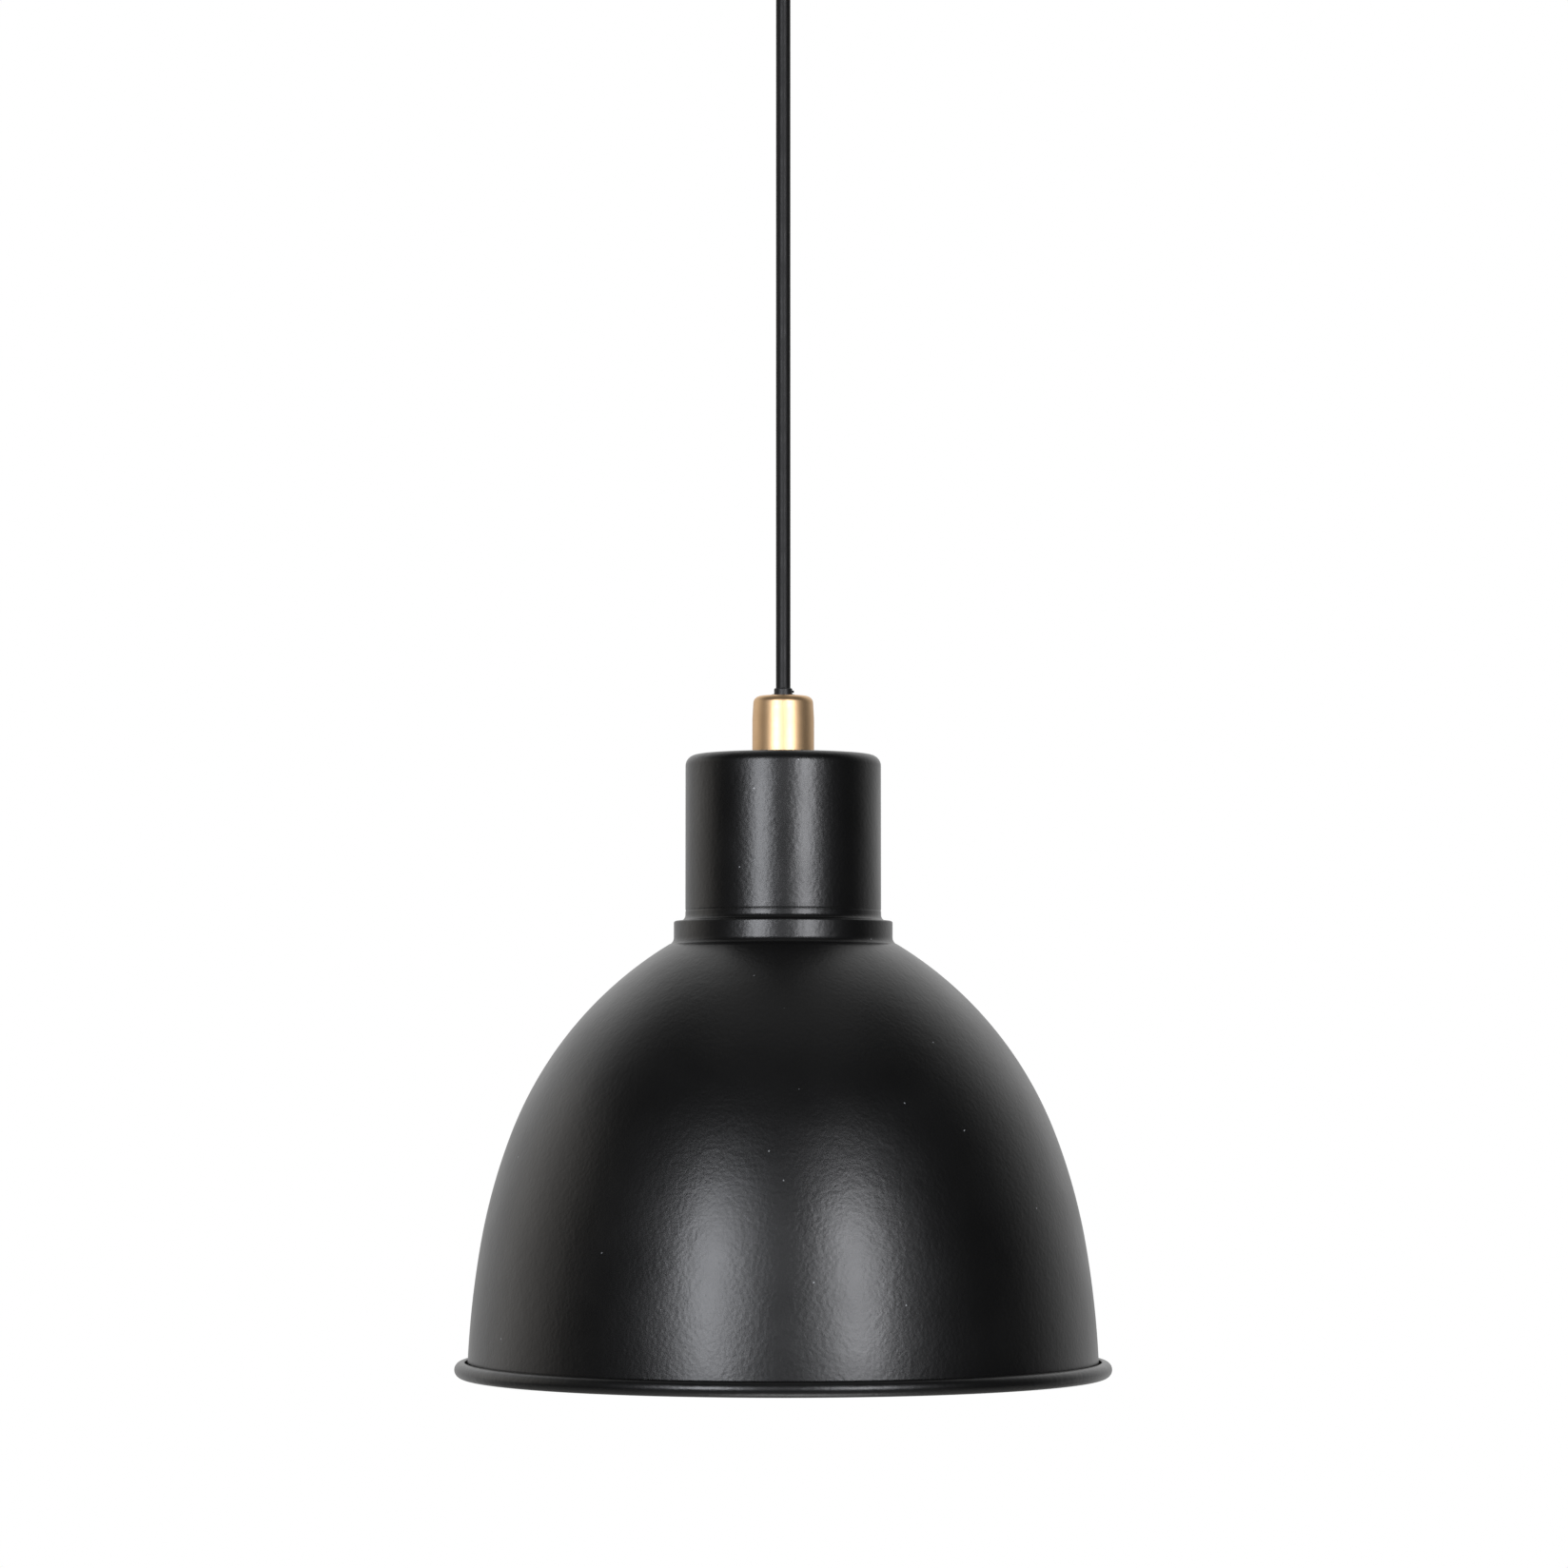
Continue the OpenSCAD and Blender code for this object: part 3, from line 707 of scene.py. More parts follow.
@dataclass
class Shade(SubAssembly):
    """The spun dome with its rolled rim, black outside and white inside."""

    body: str = "lamp"
    sheet: float = 1.0
    bead: float = 3.0
    rim: float = 125.0
    seat: float = 43.55
    hole: float = 20.0
    foot_arc: float = 60.0
    wall_arc: float = 360.0
    shoulder_arc: float = 220.0
    crown_arc: float = 145.0
    wall_lean: float = 2.5
    shoulder_from: float = 9.7
    crown_from: float = 21.1
    curl_end: float = 102.0
    segments: int = 256

    def centres(self) -> list[Point]:
        """Works out the dome's four arcs.

        Returns:
            Their centres, from the rim up.
        """
        foot = (self.rim - 2 * self.bead + self.sheet - self.foot_arc, 0.0)
        found = [foot]
        radii = [self.foot_arc, self.wall_arc, self.shoulder_arc, self.crown_arc]
        angles = [self.wall_lean, self.shoulder_from, self.crown_from]
        for before, after, angle in zip(radii, radii[1:], angles):
            step, a = before - after, math.radians(angle)
            last = found[-1]
            found.append((last[0] + step * math.cos(a), last[1] + step * math.sin(a)))
        return found

    def face(self, inset: float) -> Section:
        """One face of the sheet from the crown's flat down to the bead.

        Args:
            inset: How far it lies inside the outer face.

        Returns:
            Its points, from the top down.
        """
        foot, wall, shoulder, crown = self.centres()
        outer_end = math.acos((self.seat - crown[0]) / self.crown_arc)
        flat = crown[1] + self.crown_arc * math.sin(outer_end) - inset
        end = math.degrees(math.asin((flat - crown[1]) / (self.crown_arc - inset)))
        return [
            (self.hole, flat),
            *arc(crown, self.crown_arc - inset, end, self.crown_from, 40),
            *arc(shoulder, self.shoulder_arc - inset, self.crown_from, self.shoulder_from, 16)[1:],
            *arc(wall, self.wall_arc - inset, self.shoulder_from, self.wall_lean, 16)[1:],
            *arc(foot, self.foot_arc - inset, self.wall_lean, 0, 3)[1:],
        ]

    def build(self) -> None:
        """Turns the sheet's section, with the free edge of the bead rounded off."""
        outer, inner = self.face(0), self.face(self.sheet)
        curl = (self.rim - self.bead, 0.0)
        stop = 360 + self.curl_end
        edge = math.radians(self.curl_end)
        middle = self.bead - self.sheet / 2
        lip = (curl[0] + middle * math.cos(edge), curl[1] + middle * math.sin(edge))
        section = [
            *outer,
            *arc(curl, self.bead - self.sheet, 180, stop, 40)[1:],
            *arc(lip, self.sheet / 2, self.curl_end + 180, self.curl_end, 6)[1:-1],
            *arc(curl, self.bead, stop, 180, 48)[:-1],
            *reversed(inner),
        ]
        first_inner = len(section) - len(inner)
        piece = turned(
            "dome_shade", section, foot_of("shade") + self.bead * MM,
            [Surface.SHADE_COAT.coat(), Surface.INNER_COAT.coat()], self.segments,
            finish_of=lambda i: 1 if i >= first_inner + 4 and i < len(section) - 1 else 0,
        )
        self.place(piece, "powder_coat_black", "shade")


@dataclass
class NeckCap(SubAssembly):
    """The cylinder over the lamp holder, with a stepped collar that sits on the dome."""

    body: str = "lamp"
    wall: float = 1.2
    neck: float = 37.45
    edge: float = 4.2
    collar: float = 41.85
    collar_height: float = 8.9
    collar_edge: float = 0.8
    fillet: float = 2.3
    foot: float = 3.0
    foot_turn: float = 60.0
    ring_above: float = 4.0
    ring_half: float = 0.55
    ring_depth: float = 0.13
    hole: float = 5.1
    segments: int = 192

    def face(self, inset: float) -> Section:
        """One face of the wall, from the hole at the top down to the collar's foot.

        Args:
            inset: How far it lies inside the outer face.

        Returns:
            Its points, from the top down.
        """
        top = (top_of("neck_cap") - foot_of("neck_cap")) / MM - inset
        neck, collar = self.neck - inset, self.collar - inset
        step = self.collar_height - inset
        return [
            (self.hole, top),
            *rounded_corner((neck, top), self.edge - inset, 12),
            *(self.ring() if inset == 0 else []),
            *arc((neck + self.fillet, step + self.fillet), self.fillet, 180, 270, 8),
            *rounded_corner((collar, step), max(self.collar_edge - inset, LEAST_ROUND), 8),
        ]

    def ring(self) -> Section:
        """The faint ring that the tool left round the neck above its collar.

        Returns:
            Its points, from the top down, with one more each side that keeps the wall flat there.
        """
        middle, steps = self.collar_height + self.ring_above, 10
        groove = [
            (self.neck - self.ring_depth * (0.5 - 0.5 * math.cos(TURN * i / steps)),
             middle + self.ring_half * (1 - 2 * i / steps))
            for i in range(steps + 1)
        ]
        beyond = self.ring_half + 0.3
        return [(self.neck, middle + beyond), *groove, (self.neck, middle - beyond)]

    def build(self) -> None:
        """Turns the cap's section, with the hollow round that flares its foot out to the dome."""
        rise = self.foot * math.sin(math.radians(self.foot_turn))
        section = [
            *self.face(0),
            *arc((self.collar + self.foot, rise), self.foot, 180, 180 + self.foot_turn, 10),
            (self.collar - self.wall, 0.0),
            *reversed(self.face(self.wall)),
        ]
        piece = turned("neck_cap_shell", section, foot_of("neck_cap"), [Surface.SHADE_COAT.coat()],
                       self.segments)
        self.place(piece, "powder_coat_black", "neck_cap")


@dataclass
class CordGrip(SubAssembly):
    """The brass sleeve, the black bushing in its top, and the tube and nut that hold it."""

    body: str = "lamp"
    edge: float = 2.8
    taper: float = 0.35
    taper_height: float = 9.0
    mouth: float = 4.5
    tube: float = 5.05
    chamfer: float = 0.35
    lip: float = 3.5
    lip_edge: float = 0.5
    lip_rise: float = 0.6
    flex: float = 2.85
    flare: float = 0.2
    flare_depth: float = 0.3
    shank: float = 4.45
    catch: float = 0.45
    catch_out: float = 4.2
    catch_drop: float = 1.3
    tail_gap: float = 0.1

    def build_sleeve(self) -> None:
        """Turns the brass sleeve, slightly tapered under its rounded top edge."""
        low, high = foot_of("brass_grip"), top_of("brass_grip")
        height, radius = (high - low) / MM, radius_of("brass_grip")
        inside = (top_of("threaded_tube") - low) / MM
        shoulder = radius - self.taper
        section = [
            (self.mouth + self.chamfer, height),
            *rounded_corner((shoulder, height), self.edge, 14)[:-1],
            (shoulder, height - self.edge),
            (radius, height - self.taper_height),
            (radius, self.chamfer),
            (radius - self.chamfer, 0.0),
            (self.tube + self.chamfer, 0.0),
            (self.tube, self.chamfer),
            (self.tube, inside),
            (self.mouth, inside),
            (self.mouth, height - self.chamfer),
        ]
        piece = turned("brass_sleeve", section, low, [Surface.BRASS.coat()], 160)
        self.place(piece, "brass", "brass_grip")

    def build_bushing(self) -> None:
        """Turns the bushing: a small lip over a shank, rounded where the flex comes out."""
        low, high = foot_of("cord_bushing"), top_of("cord_bushing")
        height = (high - low) / MM
        seat = (top_of("brass_grip") - low) / MM
        section = [
            (self.flex, height - self.flare_depth),
            (self.flex + self.flare, height),
            *rounded_corner((self.lip, height), self.lip_edge, 6),
            (self.lip, seat + self.lip_rise),
            (self.shank, seat + self.lip_rise),
            (self.shank, 0.0),
            (self.flex, 0.0),
        ]
        piece = turned("flex_bushing", section, low, [Surface.POLYAMIDE.coat()], 96)
        self.place(piece, "black_plastic", "cord_bushing")

    def build_tail(self) -> None:
        """The end of the flex inside the lamp.

        It stops a hair short of the hanging run, so the two don't share a face.
        """
        low, high = foot_of("cord_tail"), top_of("cord_tail") - self.tail_gap * MM
        path = straight((0, 0, high), (0, 0, low), 24)
        piece = tube("flex_tail", path, radius_of("cord_tail") * MM, Surface.SHEATH.coat(), 40)
        self.place(piece, "black_pvc", "cord_tail")

    def build_catch(self) -> None:
        """The small round-ended catch that stands out of the bushing's lip."""
        height = top_of("cord_bushing") - self.catch_drop * MM
        start = self.flex + self.flare
        path = straight((start * MM, 0, height), (self.catch_out * MM, 0, height), 16)
        piece = tube("bushing_catch", path, self.catch * MM, Surface.POLYAMIDE.coat(), 24,
                     lambda t: math.sqrt(max(1 - max((t - 0.65) / 0.36, 0.0) ** 2, 0.05)))
        self.place(piece, "black_plastic")

    def build(self) -> None:
        """Builds what shows and dresses what is hidden in the neck."""
        self.build_sleeve()
        self.build_bushing()
        self.build_catch()
        self.build_tail()
        self.dress(Surface.NYLON, "grip_collet")
        self.dress(Surface.ZINC, "threaded_tube", "lock_washer", "tube_nut")


@dataclass
class HangingCord:
    """The round flex from the cup's grip down to the bushing, pulled straight by the lamp.

    Two short stretches at the top stand where the flex bends when the lamp swings; here they are built
    straight and put on no body.
    """

    diameter: float = 5.6
    sides: int = 40
    bend_steps: int = 24
    # Heights of the flex's points in millimetres, as in the CAD
    bend_upper: tuple[float, ...] = (-62, -69, -76)
    bend_lower: tuple[float, ...] = (-76, -83, -90)
    run: tuple[float, ...] = (-90, -105, -120, -135, -150, -165, -180, -195, -210, -225, -240,
                              -255, -270, -285, -300, -315, -325, -335)

    def stretch(self, name: str, heights: Sequence[float], steps: int) -> bpy.types.Object:
        """A straight stretch of flex.

        Args:
            name: The piece's name.
            heights: Heights of its route's points, in millimetres.
            steps: Divisions along its whole length.

        Returns:
            The tube.
        """
        path = straight((0, 0, heights[0] * MM), (0, 0, heights[-1] * MM), steps)
        return tube(name, path, self.diameter / 2 * MM, Surface.SHEATH.coat(), self.sides)

    def build(self) -> None:
        upper = self.stretch("flex_bend_upper", self.bend_upper, self.bend_steps)
        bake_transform(upper)
        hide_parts("cord_bend_upper")
        lower = self.stretch("flex_bend_lower", self.bend_lower, self.bend_steps)
        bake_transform(lower)
        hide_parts("cord_bend_lower")
        run = self.stretch("flex_run", self.run, len(self.run) * 2)
        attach(run, "hanging_cord")
        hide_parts("cord")
        LOG.info("HangingCord: %d mm of flex", self.bend_upper[0] - self.run[-1])


@dataclass
class CeilingFitting(SubAssembly):
    """The cup on the ceiling, its bracket and terminal block, and the grip that holds the flex."""

    body: str = "root"
    cup: float = 50.0
    cup_wall: float = 1.0
    cup_edge: float = 3.0
    cup_hole: float = 5.1
    head: float = 3.4
    head_dome: float = 1.1
    slot_width: float = 0.8
    slot_depth: float = 0.8
    screw: float = 2.0
    screw_end: float = 41.2
    screw_chamfer: float = 0.4
    grip: float = 9.0
    grip_mouth: float = 6.4
    grip_lip: float = 1.2
    grip_bore: float = 2.9
    grip_thread: float = 5.0
    grip_ribs: int = 24
    rib: float = 0.25

    def build_cup(self) -> None:
        """Turns the pressed cup, open towards the ceiling."""
        low = foot_of("canopy")
        height = (top_of("canopy") - low) / MM
        inner = self.cup - self.cup_wall
        section = [
            (self.cup_hole, 0.0),
            *arc((self.cup - self.cup_edge, self.cup_edge), self.cup_edge, -90, 0, 10),
            (self.cup, height),
            (inner, height),
            *arc((self.cup - self.cup_edge, self.cup_edge), self.cup_edge - self.cup_wall, 0, -90, 8),
            (self.cup_hole, self.cup_wall),
        ]
        piece = turned("ceiling_cup", section, low, [Surface.CUP_COAT.coat()], 192)
        self.place(piece, "cup_black", "canopy")

    def build_side_screws(self) -> None:
        """Two slotted dome-head screws through the cup's wall."""
        low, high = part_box("canopy_screws")
        middle = (low.z + high.z) / 2
        out = high.x / MM
        seat = self.cup + 0.05
        for side in (1, -1):
            section = [
                (0.0, out),
                *[(self.head * math.sin(a), seat + self.head_dome * 0.5
                   + (out - seat - self.head_dome * 0.5) * math.cos(a))
                  for a in [math.pi / 2 * i / 8 for i in range(1, 9)]],
                (self.head, seat),
                (self.screw, seat),
                (self.screw, self.screw_end + self.screw_chamfer),
                (self.screw - self.screw_chamfer, self.screw_end),
                (0.0, self.screw_end),
            ]
            piece = turned(f"side_screw_{'right' if side > 0 else 'left'}", section, 0,
                           [Surface.CUP_COAT.coat()], 48)
            for v in piece.data.vertices:
                v.co = Vector((side * v.co.z, v.co.y, middle + side * v.co.x))
            cut_slot(piece, Vector((side * (out - self.slot_depth / 2 + 0.5) * MM, 0, middle)),
                     Vector(((self.slot_depth + 1) * MM, 9 * MM, self.slot_width * MM)))
            self.place(piece, "cup_black", "canopy_screws")

    def ribbed(self, radius: float, height: float, angle: float) -> Point:
        """Moves a point of the grip's side in between its finger ribs."""
        cut = self.rib * (1 - math.cos(self.grip_ribs * angle)) if radius > self.grip - 0.05 else 0.0
        return radius - cut, height

    def build_grip(self) -> None:
        """Turns the cord grip under the cup: a ribbed body that narrows to a rounded mouth."""
        low, high = foot_of("ceiling_grip"), top_of("ceiling_grip")
        thread = (high - low) / MM
        seat = (foot_of("canopy") - low) / MM
        lip = self.grip_lip
        section = [
            (self.grip_bore, 0.8),
            *arc((self.grip_bore + lip, lip), lip, 180, 270, 5)[1:],
            *arc((self.grip_mouth - lip, lip), lip, -90, -30, 5),
            (self.grip, seat * 0.5),
            (self.grip, seat - 0.6),
            (self.grip - 0.6, seat),
            (self.grip_thread, seat),
            (self.grip_thread, thread),
            (self.grip_bore, thread),
        ]
        piece = turned("cup_cord_grip", section, low, [Surface.POLYAMIDE.coat()], 192,
                       shape=self.ribbed)
        self.place(piece, "black_plastic", "ceiling_grip")

    def build(self) -> None:
        """Builds what shows and dresses what is inside the cup."""
        self.build_cup()
        self.build_side_screws()
        self.build_grip()
        self.dress(Surface.POLYAMIDE, "ceiling_grip_screw")
        self.dress(Surface.ZINC, "ceiling_bracket", "ceiling_grip_nut", "terminal_screws", "block_screw")
        self.dress(Surface.NYLON, "terminal_block")
        self.dress(Surface.CONTACT, "terminal_clamps")
        self.dress(Surface.SHEATH, "supply_cord")
        self.dress(Surface.BROWN_CORE, "supply_core_brown")
        self.dress(Surface.BLUE_CORE, "supply_core_blue")


@dataclass
class LampHolder(SubAssembly):
    """The screw-in lamp holder: cap, insert, contacts, threaded skirt and two shade rings."""

    body: str = "lamp"
    pitch: float = 2.0
    thread: float = 0.35
    thread_from: float = 18.8
    skirt_top: float = 18.4
    bore: float = 15.2
    socket: float = 13.6
    socket_wall: float = 0.45
    socket_pitch: float = 3.629
    socket_thread: float = 0.315
    ring_bore: float = 19.6
    ring: float = 27.0
    ring_round: float = 1.2
    lugs: int = 12
    lug: float = 1.2
    lug_from: float = 26.5

    def screwed(self, radius: float, height: float, angle: float) -> Point:
        """Cuts the outer thread into the skirt's wall."""
        cut = self.thread * (0.5 - 0.5 * math.cos(TURN * height / self.pitch - angle))
        return radius - (cut if radius >= self.thread_from else 0.0), height

    def build_skirt(self) -> None:
        """The skirt, threaded outside over its whole height for the two rings."""
        low = foot_of("holder_skirt")
        joint = (foot_of("holder_cap") - low) / MM
        top = (top_of("holder_skirt") - low) / MM
        radius = radius_of("holder_skirt")
        rows = 110
        section = [
            (self.bore, 0.5),
            (self.bore + 0.5, 0.0),
            (radius - 0.8, 0.0),
            *[(radius, 0.8 + (joint - 0.8) * i / rows) for i in range(rows + 1)],
            (self.skirt_top, joint),
            (self.skirt_top, top),
            (self.bore, top),
        ]
        piece = turned("holder_skirt_shell", section, low, [Surface.PHENOLIC.coat()], 96,
                       shape=self.screwed)
        self.place(piece, "black_bakelite", "holder_skirt")

    def lugged(self, radius: float, height: float, angle: float) -> Point:
        """Raises the finger lugs round a shade ring."""
        out = self.lug * max(0.0, math.cos(self.lugs * angle)) ** 3
        return radius + (out if radius >= self.lug_from else 0.0), height

    def build_ring(self) -> None:
        """The lower shade ring, with lugs to turn it by."""
        low, high = foot_of("shade_ring_lower"), top_of("shade_ring_lower")
        height = (high - low) / MM
        inner, outer, edge = self.ring_bore, self.ring, self.ring_round
        section = [
            (inner, height),
            (outer - 0.4, height),
            (outer, height - 0.4),
            (outer, edge),
            *arc((outer - edge, edge), edge, 0, -90, 5)[1:],
            (inner + 0.8, 0.0),
            (inner, 0.8),
        ]
        piece = turned("clamping_ring", section, low, [Surface.PHENOLIC.coat()], 240,
                       shape=self.lugged)
        self.place(piece, "black_bakelite", "shade_ring_lower")

    def rolled(self, radius: float, height: float, angle: float) -> Point:
        """Rolls the round thread into the socket's brass shell."""
        phase = TURN * height / self.socket_pitch - angle
        return radius + self.socket_thread * (0.5 + 0.5 * math.cos(phase)), height

    def build_socket(self) -> None:
        """The brass screw shell, thin and rolled with the bulb's thread."""
        low, high = foot_of("screw_contact"), top_of("screw_contact")
        height = (high - low) / MM
        rows = 90
        wall = [(self.socket, height * i / rows) for i in range(rows + 1)]
        section = [*wall, *[(self.socket + self.socket_wall, z) for _, z in reversed(wall)]]
        piece = turned("socket_shell", section, low, [Surface.CONTACT.coat()], 96, shape=self.rolled)
        self.place(piece, "contact_brass", "screw_contact")

    def build(self) -> None:
        """Builds the threaded pieces and dresses the rest."""
        self.build_skirt()
        self.build_ring()
        self.build_socket()
        self.dress(Surface.PHENOLIC, "holder_cap", "shade_ring_upper")
        self.dress(Surface.STEATITE, "holder_insert")
        self.dress(Surface.CONTACT, "holder_clamps", "centre_contact")
        self.dress(Surface.ZINC, "holder_grub_screw", "holder_clamp_screws")
        self.dress(Surface.BROWN_CORE, "lamp_core_brown")
        self.dress(Surface.BLUE_CORE, "lamp_core_blue")


@dataclass
class Bulb(SubAssembly):
    """The clear bulb: screw cap, glass, stem and four LED filaments."""

    body: str = "bulb"
    ball: float = 30.0
    flare: float = 42.0
    neck: float = 12.55
    glass: float = 0.8
    pitch: float = 3.629
    thread: float = 0.8
    thread_from: float = 12.0
    threaded: Point = (2.6, 21.5)
    cap_round: float = 2.0
    cap_hole: float = 4.0
    skin: float = 0.3
    filaments: int = 4
    filament: float = 0.9
    filament_foot: float = 4.5
    filament_lean: float = 5.2
    filament_gap: float = 0.15
    beads: int = 26

    def outline(self, inset: float, top: float) -> Section:
        """One face of the glass, from the neck down to the ball's lowest point.

        Args:
            inset: How far it lies inside the outer face.
            top: Height of the neck's end above the ball's centre.

        Returns:
            Its points, from the top down.
        """
        ball, flare, neck = self.ball - inset, self.flare + inset, self.neck - inset
        reach = neck + flare
        drop = math.sqrt((ball + flare) ** 2 - reach**2)
        meet = math.degrees(math.atan2(drop, reach))
        return [
            (neck, top),
            *arc((reach, drop), flare, 180, 180 + meet, 28),
            *arc((0.0, 0.0), ball, meet, -90, 64)[1:-1],
            (0.0, -ball),
        ]

    def build_glass(self) -> None:
        """The blown envelope, with a real wall."""
        low, high = foot_of("bulb_glass"), top_of("bulb_glass")
        centre = low + self.ball * MM
        top = (high - centre) / MM
        section = [*self.outline(0, top), *reversed(self.outline(self.glass, top))]
        piece = turned("bulb_envelope", section, centre, [Surface.GLASS.coat()], 128)
        self.place(piece, "bulb_glass", "bulb_glass")

    def screwed(self, radius: float, height: float, angle: float) -> Point:
        """Rolls the round thread into the cap's wall, run out at both ends.

        Args:
            radius: The point's distance from the axis.
            height: Its height over the cap's edge.
            angle: Where it is round the axis.

        Returns:
            Its new distance and height.
        """
        first, last = self.threaded
        fade = max(0.0, min(1.0, (height - first) / 2, (last - height) / 2))
        cut = self.thread * fade * (0.5 - 0.5 * math.cos(TURN * height / self.pitch - angle))
        return radius - (cut if radius >= self.thread_from else 0.0), height

    def build_cap(self) -> None:
        """The nickel-plated cap with its rolled thread."""
        low, high = foot_of("bulb_cap"), top_of("bulb_cap")
        height = (high - low) / MM
        radius = radius_of("bulb_cap")
        rows = 100
        edge, skin = self.cap_round, self.skin
        shoulder = height - edge
        wall = [(radius, shoulder * i / rows) for i in range(rows + 1)]
        section = [
            *wall,
            *arc((radius - edge, shoulder), edge, 0, 90, 8)[1:],
            (self.cap_hole, height),
            (self.cap_hole, height - skin),
            *arc((radius - edge, shoulder), edge - skin, 90, 0, 6),
            *[(radius - skin, z) for _, z in reversed(wall[:-1])],
        ]
        piece = turned("bulb_screw_cap", section, low, [Surface.NICKEL.coat()], 96,
                       shape=self.screwed)
        self.place(piece, "nickel_plate", "bulb_cap")

    def build_filaments(self) -> None:
        """Four LED strips in ribbed silicone, leaning out towards the top."""
        low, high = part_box("bulb_filaments")
        lean = math.radians(self.filament_lean)
        length = (high.z - low.z) - 2 * self.filament_gap * MM
        steps = self.beads * 4
        for k in range(self.filaments):
            turn = TURN * (k + 0.5) / self.filaments
            out = Vector((math.cos(turn), math.sin(turn), 0))
            start = out * self.filament_foot * MM + Vector((0, 0, low.z + self.filament_gap * MM))
            way = out * math.sin(lean) + Vector((0, 0, math.cos(lean)))
            path = [start + way * length * i / steps for i in range(steps + 1)]
            piece = tube(f"led_filament_{k + 1}", path, self.filament * MM,
                         Surface.PHOSPHOR.coat(), 16,
                         lambda t: 0.9 + 0.1 * abs(math.sin(math.pi * self.beads * t)))
            self.place(piece, "filament", "bulb_filaments")

    def build(self) -> None:
        """Builds the bulb's pieces and dresses the rest."""
        self.build_glass()
        self.build_cap()
        self.build_filaments()
        self.dress(Surface.GLASS, "bulb_stem")
        self.dress(Surface.ZINC, "bulb_supports")
        self.dress(Surface.VITRITE, "bulb_insulator")
        self.dress(Surface.SOLDER, "bulb_contact")


# ---------------------------------------------------------------- studio


@dataclass(frozen=True)
class SoftBox:
    """A rectangular studio light on a stand, aimed at the lamp."""

    name: str
    azimuth: float
    elevation: float
    distance: float
    width: float
    height: float
    power: float
    tint: str = "#FFFFFF"

    def build(self, aim: Vector) -> None:
        """Puts the light round the aim.

        Args:
            aim: The point that it looks at.
        """
        a, e = math.radians(self.azimuth), math.radians(self.elevation)
        way = Vector((math.sin(a) * math.cos(e), -math.cos(a) * math.cos(e), math.sin(e)))
        lamp = bpy.data.lights.new(self.name, "AREA")
        lamp.shape = "RECTANGLE"
        lamp.size = self.width
        lamp.size_y = self.height
        lamp.energy = self.power
        lamp.color = linear(self.tint)[:3]
        stand = bpy.data.objects.new(self.name, lamp)
        stand.location = aim + way * self.distance
        stand.rotation_mode = "QUATERNION"
        stand.rotation_quaternion = way.to_track_quat("Z", "Y")
        stand.visible_camera = False
        bpy.context.scene.collection.objects.link(stand)


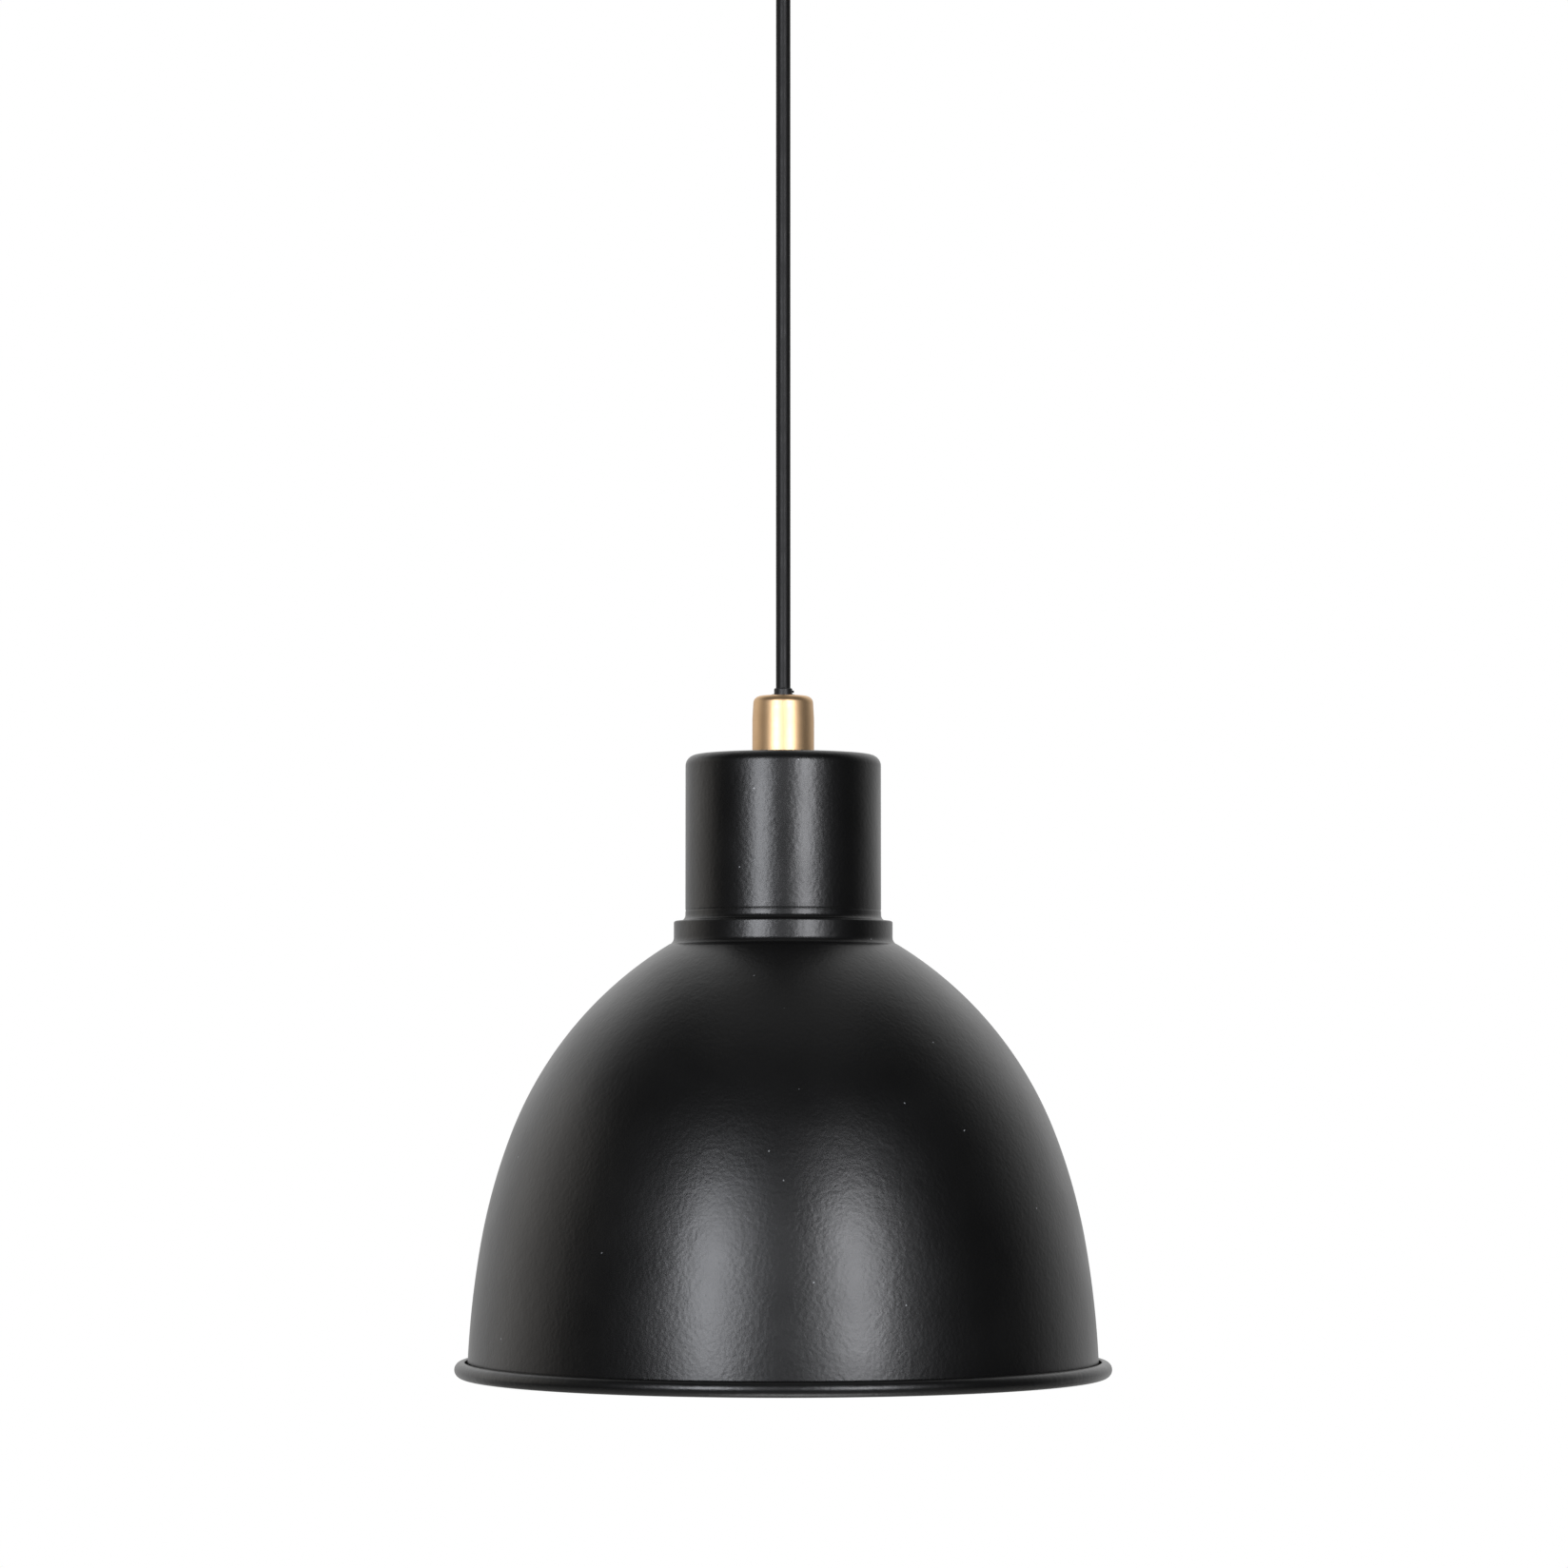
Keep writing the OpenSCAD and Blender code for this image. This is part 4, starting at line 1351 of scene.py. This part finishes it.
@dataclass
class Studio:
    """Camera, pale floor, pale surroundings and soft lights."""

    camera_distance: float = 1.9
    camera_above_rim: float = 0.1163
    camera_pitch: float = 3.21
    camera_aside: float = 0.0003
    lens: float = 114.0
    floor_drop: float = 2.8
    floor_span: float = 9.0
    floor_white: float = 0.4
    boxes: tuple[SoftBox, ...] = (
        SoftBox("box_left", -26, 10.5, 2.0, 0.6, 1.05, 26, "#F7F9FF"),
        SoftBox("box_right", 26, 10.5, 2.0, 0.6, 1.05, 25.5, "#F9FAFF"),
        SoftBox("fill_left", -108, 10, 2.2, 1.6, 1.6, 4.4, "#FFF9F2"),
        SoftBox("overhead", 180, 84, 1.7, 1.6, 1.6, 2.2),
        SoftBox("under", 20, -78, 1.5, 0.7, 0.7, 5),
    )

    def build_camera(self) -> None:
        """The camera, level with the lower half of the shade and tipped slightly up."""
        rim = foot_of("shade") + Shade.bead * MM
        lens = bpy.data.cameras.new("camera")
        lens.lens = self.lens
        lens.sensor_width = 36
        lens.clip_end = 50
        camera = bpy.data.objects.new("camera", lens)
        camera.location = (self.camera_aside, -self.camera_distance, rim + self.camera_above_rim)
        camera.rotation_euler = (math.radians(90 + self.camera_pitch), 0, 0)
        bpy.context.scene.collection.objects.link(camera)
        bpy.context.scene.camera = camera

    def build_floor(self) -> None:
        """A plain pale floor, far below the lamp, that fades into the white round it.

        Only what is seen fades: the light that the floor throws back is plain paint's.
        """
        shell = bmesh.new()
        half = self.floor_span / 2
        shell.faces.new([shell.verts.new((x * half, y * half, 0))
                         for x, y in ((-1, -1), (1, -1), (1, 1), (-1, 1))])
        paint = Moulded("pale_painted_floor", "#E8E7E4", 0.7, grain_mm=4,
                        flow_colour="#E2E1DE").material()
        tree = paint.node_tree
        surface = tree.get_output_node("ALL").inputs["Surface"]
        painted = surface.links[0].from_socket
        place = add_node(tree, "ShaderNodeTexCoord").outputs["Object"]
        away = add_node(tree, "ShaderNodeVectorMath", {"operation": "LENGTH"}, {0: place})
        fade = add_node(tree, "ShaderNodeMapRange",
                        {"interpolation_type": "SMOOTHSTEP", "From Min": 0.0,
                         "From Max": half * 0.9, "To Min": self.floor_white, "To Max": 1.0},
                        {"Value": away.outputs["Value"]})
        ray = add_node(tree, "ShaderNodeLightPath")
        share = add_node(tree, "ShaderNodeMath", {"operation": "MULTIPLY"},
                         {0: fade.outputs[0], 1: ray.outputs["Is Camera Ray"]})
        white = add_node(tree, "ShaderNodeEmission", {"Color": linear("#FFFFFF"), "Strength": 1.0})
        mix = add_node(tree, "ShaderNodeMixShader",
                       links={0: share.outputs[0], 1: painted, 2: white.outputs[0]})
        tree.links.new(mix.outputs[0], surface)
        floor = as_piece("floor", shell, [paint])
        floor.location.z = -self.floor_drop

    def build_surroundings(self) -> None:
        """A bright backdrop behind the lamp, brighter higher up, that fades to a dim room.

        The camera sees it as plain white.
        """
        scene = bpy.context.scene
        world = bpy.data.worlds.new("studio")
        scene.world = world
        world.use_nodes = True
        tree = world.node_tree
        tree.nodes.clear()
        way = add_node(tree, "ShaderNodeTexCoord").outputs["Generated"]
        parts = add_node(tree, "ShaderNodeSeparateXYZ", links={0: way})
        behind = add_node(tree, "ShaderNodeMapRange",
                          {"interpolation_type": "SMOOTHSTEP", "From Min": 0.05, "From Max": 0.9,
                           "To Min": 0.0, "To Max": 1.0}, {"Value": parts.outputs["Y"]})
        height = add_node(tree, "ShaderNodeMapRange",
                          {"From Min": 0.0, "From Max": 0.6, "To Min": 0.75, "To Max": 1.35},
                          {"Value": parts.outputs["Z"]})
        glow = add_node(tree, "ShaderNodeMath", {"operation": "MULTIPLY_ADD", 2: 0.01},
                        {0: behind.outputs[0], 1: height.outputs[0]})
        room = add_node(tree, "ShaderNodeBackground", {"Color": linear("#FFFFFF")},
                        {"Strength": glow.outputs[0]})
        seen = add_node(tree, "ShaderNodeBackground", {"Color": linear("#FFFFFF"), "Strength": 1.0})
        ray = add_node(tree, "ShaderNodeLightPath")
        mix = add_node(tree, "ShaderNodeMixShader",
                       links={0: ray.outputs["Is Camera Ray"], 1: room.outputs[0], 2: seen.outputs[0]})
        add_node(tree, "ShaderNodeOutputWorld", links={"Surface": mix.outputs[0]})

    def build(self) -> None:
        """Builds the studio round the lamp."""
        self.build_camera()
        self.build_floor()
        self.build_surroundings()
        aim = Vector((0, 0, (top_of("neck_cap") + foot_of("shade")) / 2))
        for box in self.boxes:
            box.build(aim)
        bpy.context.scene.view_settings.view_transform = "Standard"
        LOG.info("Studio: %d soft boxes", len(self.boxes))


def main() -> None:
    """Builds the studio, the flex and the lamp."""
    Studio().build()
    HangingCord().build()
    for assembly in (CeilingFitting(), CordGrip(), NeckCap(), Shade(), LampHolder(), Bulb()):
        assembly.build()


if __name__ == "__main__":
    main()
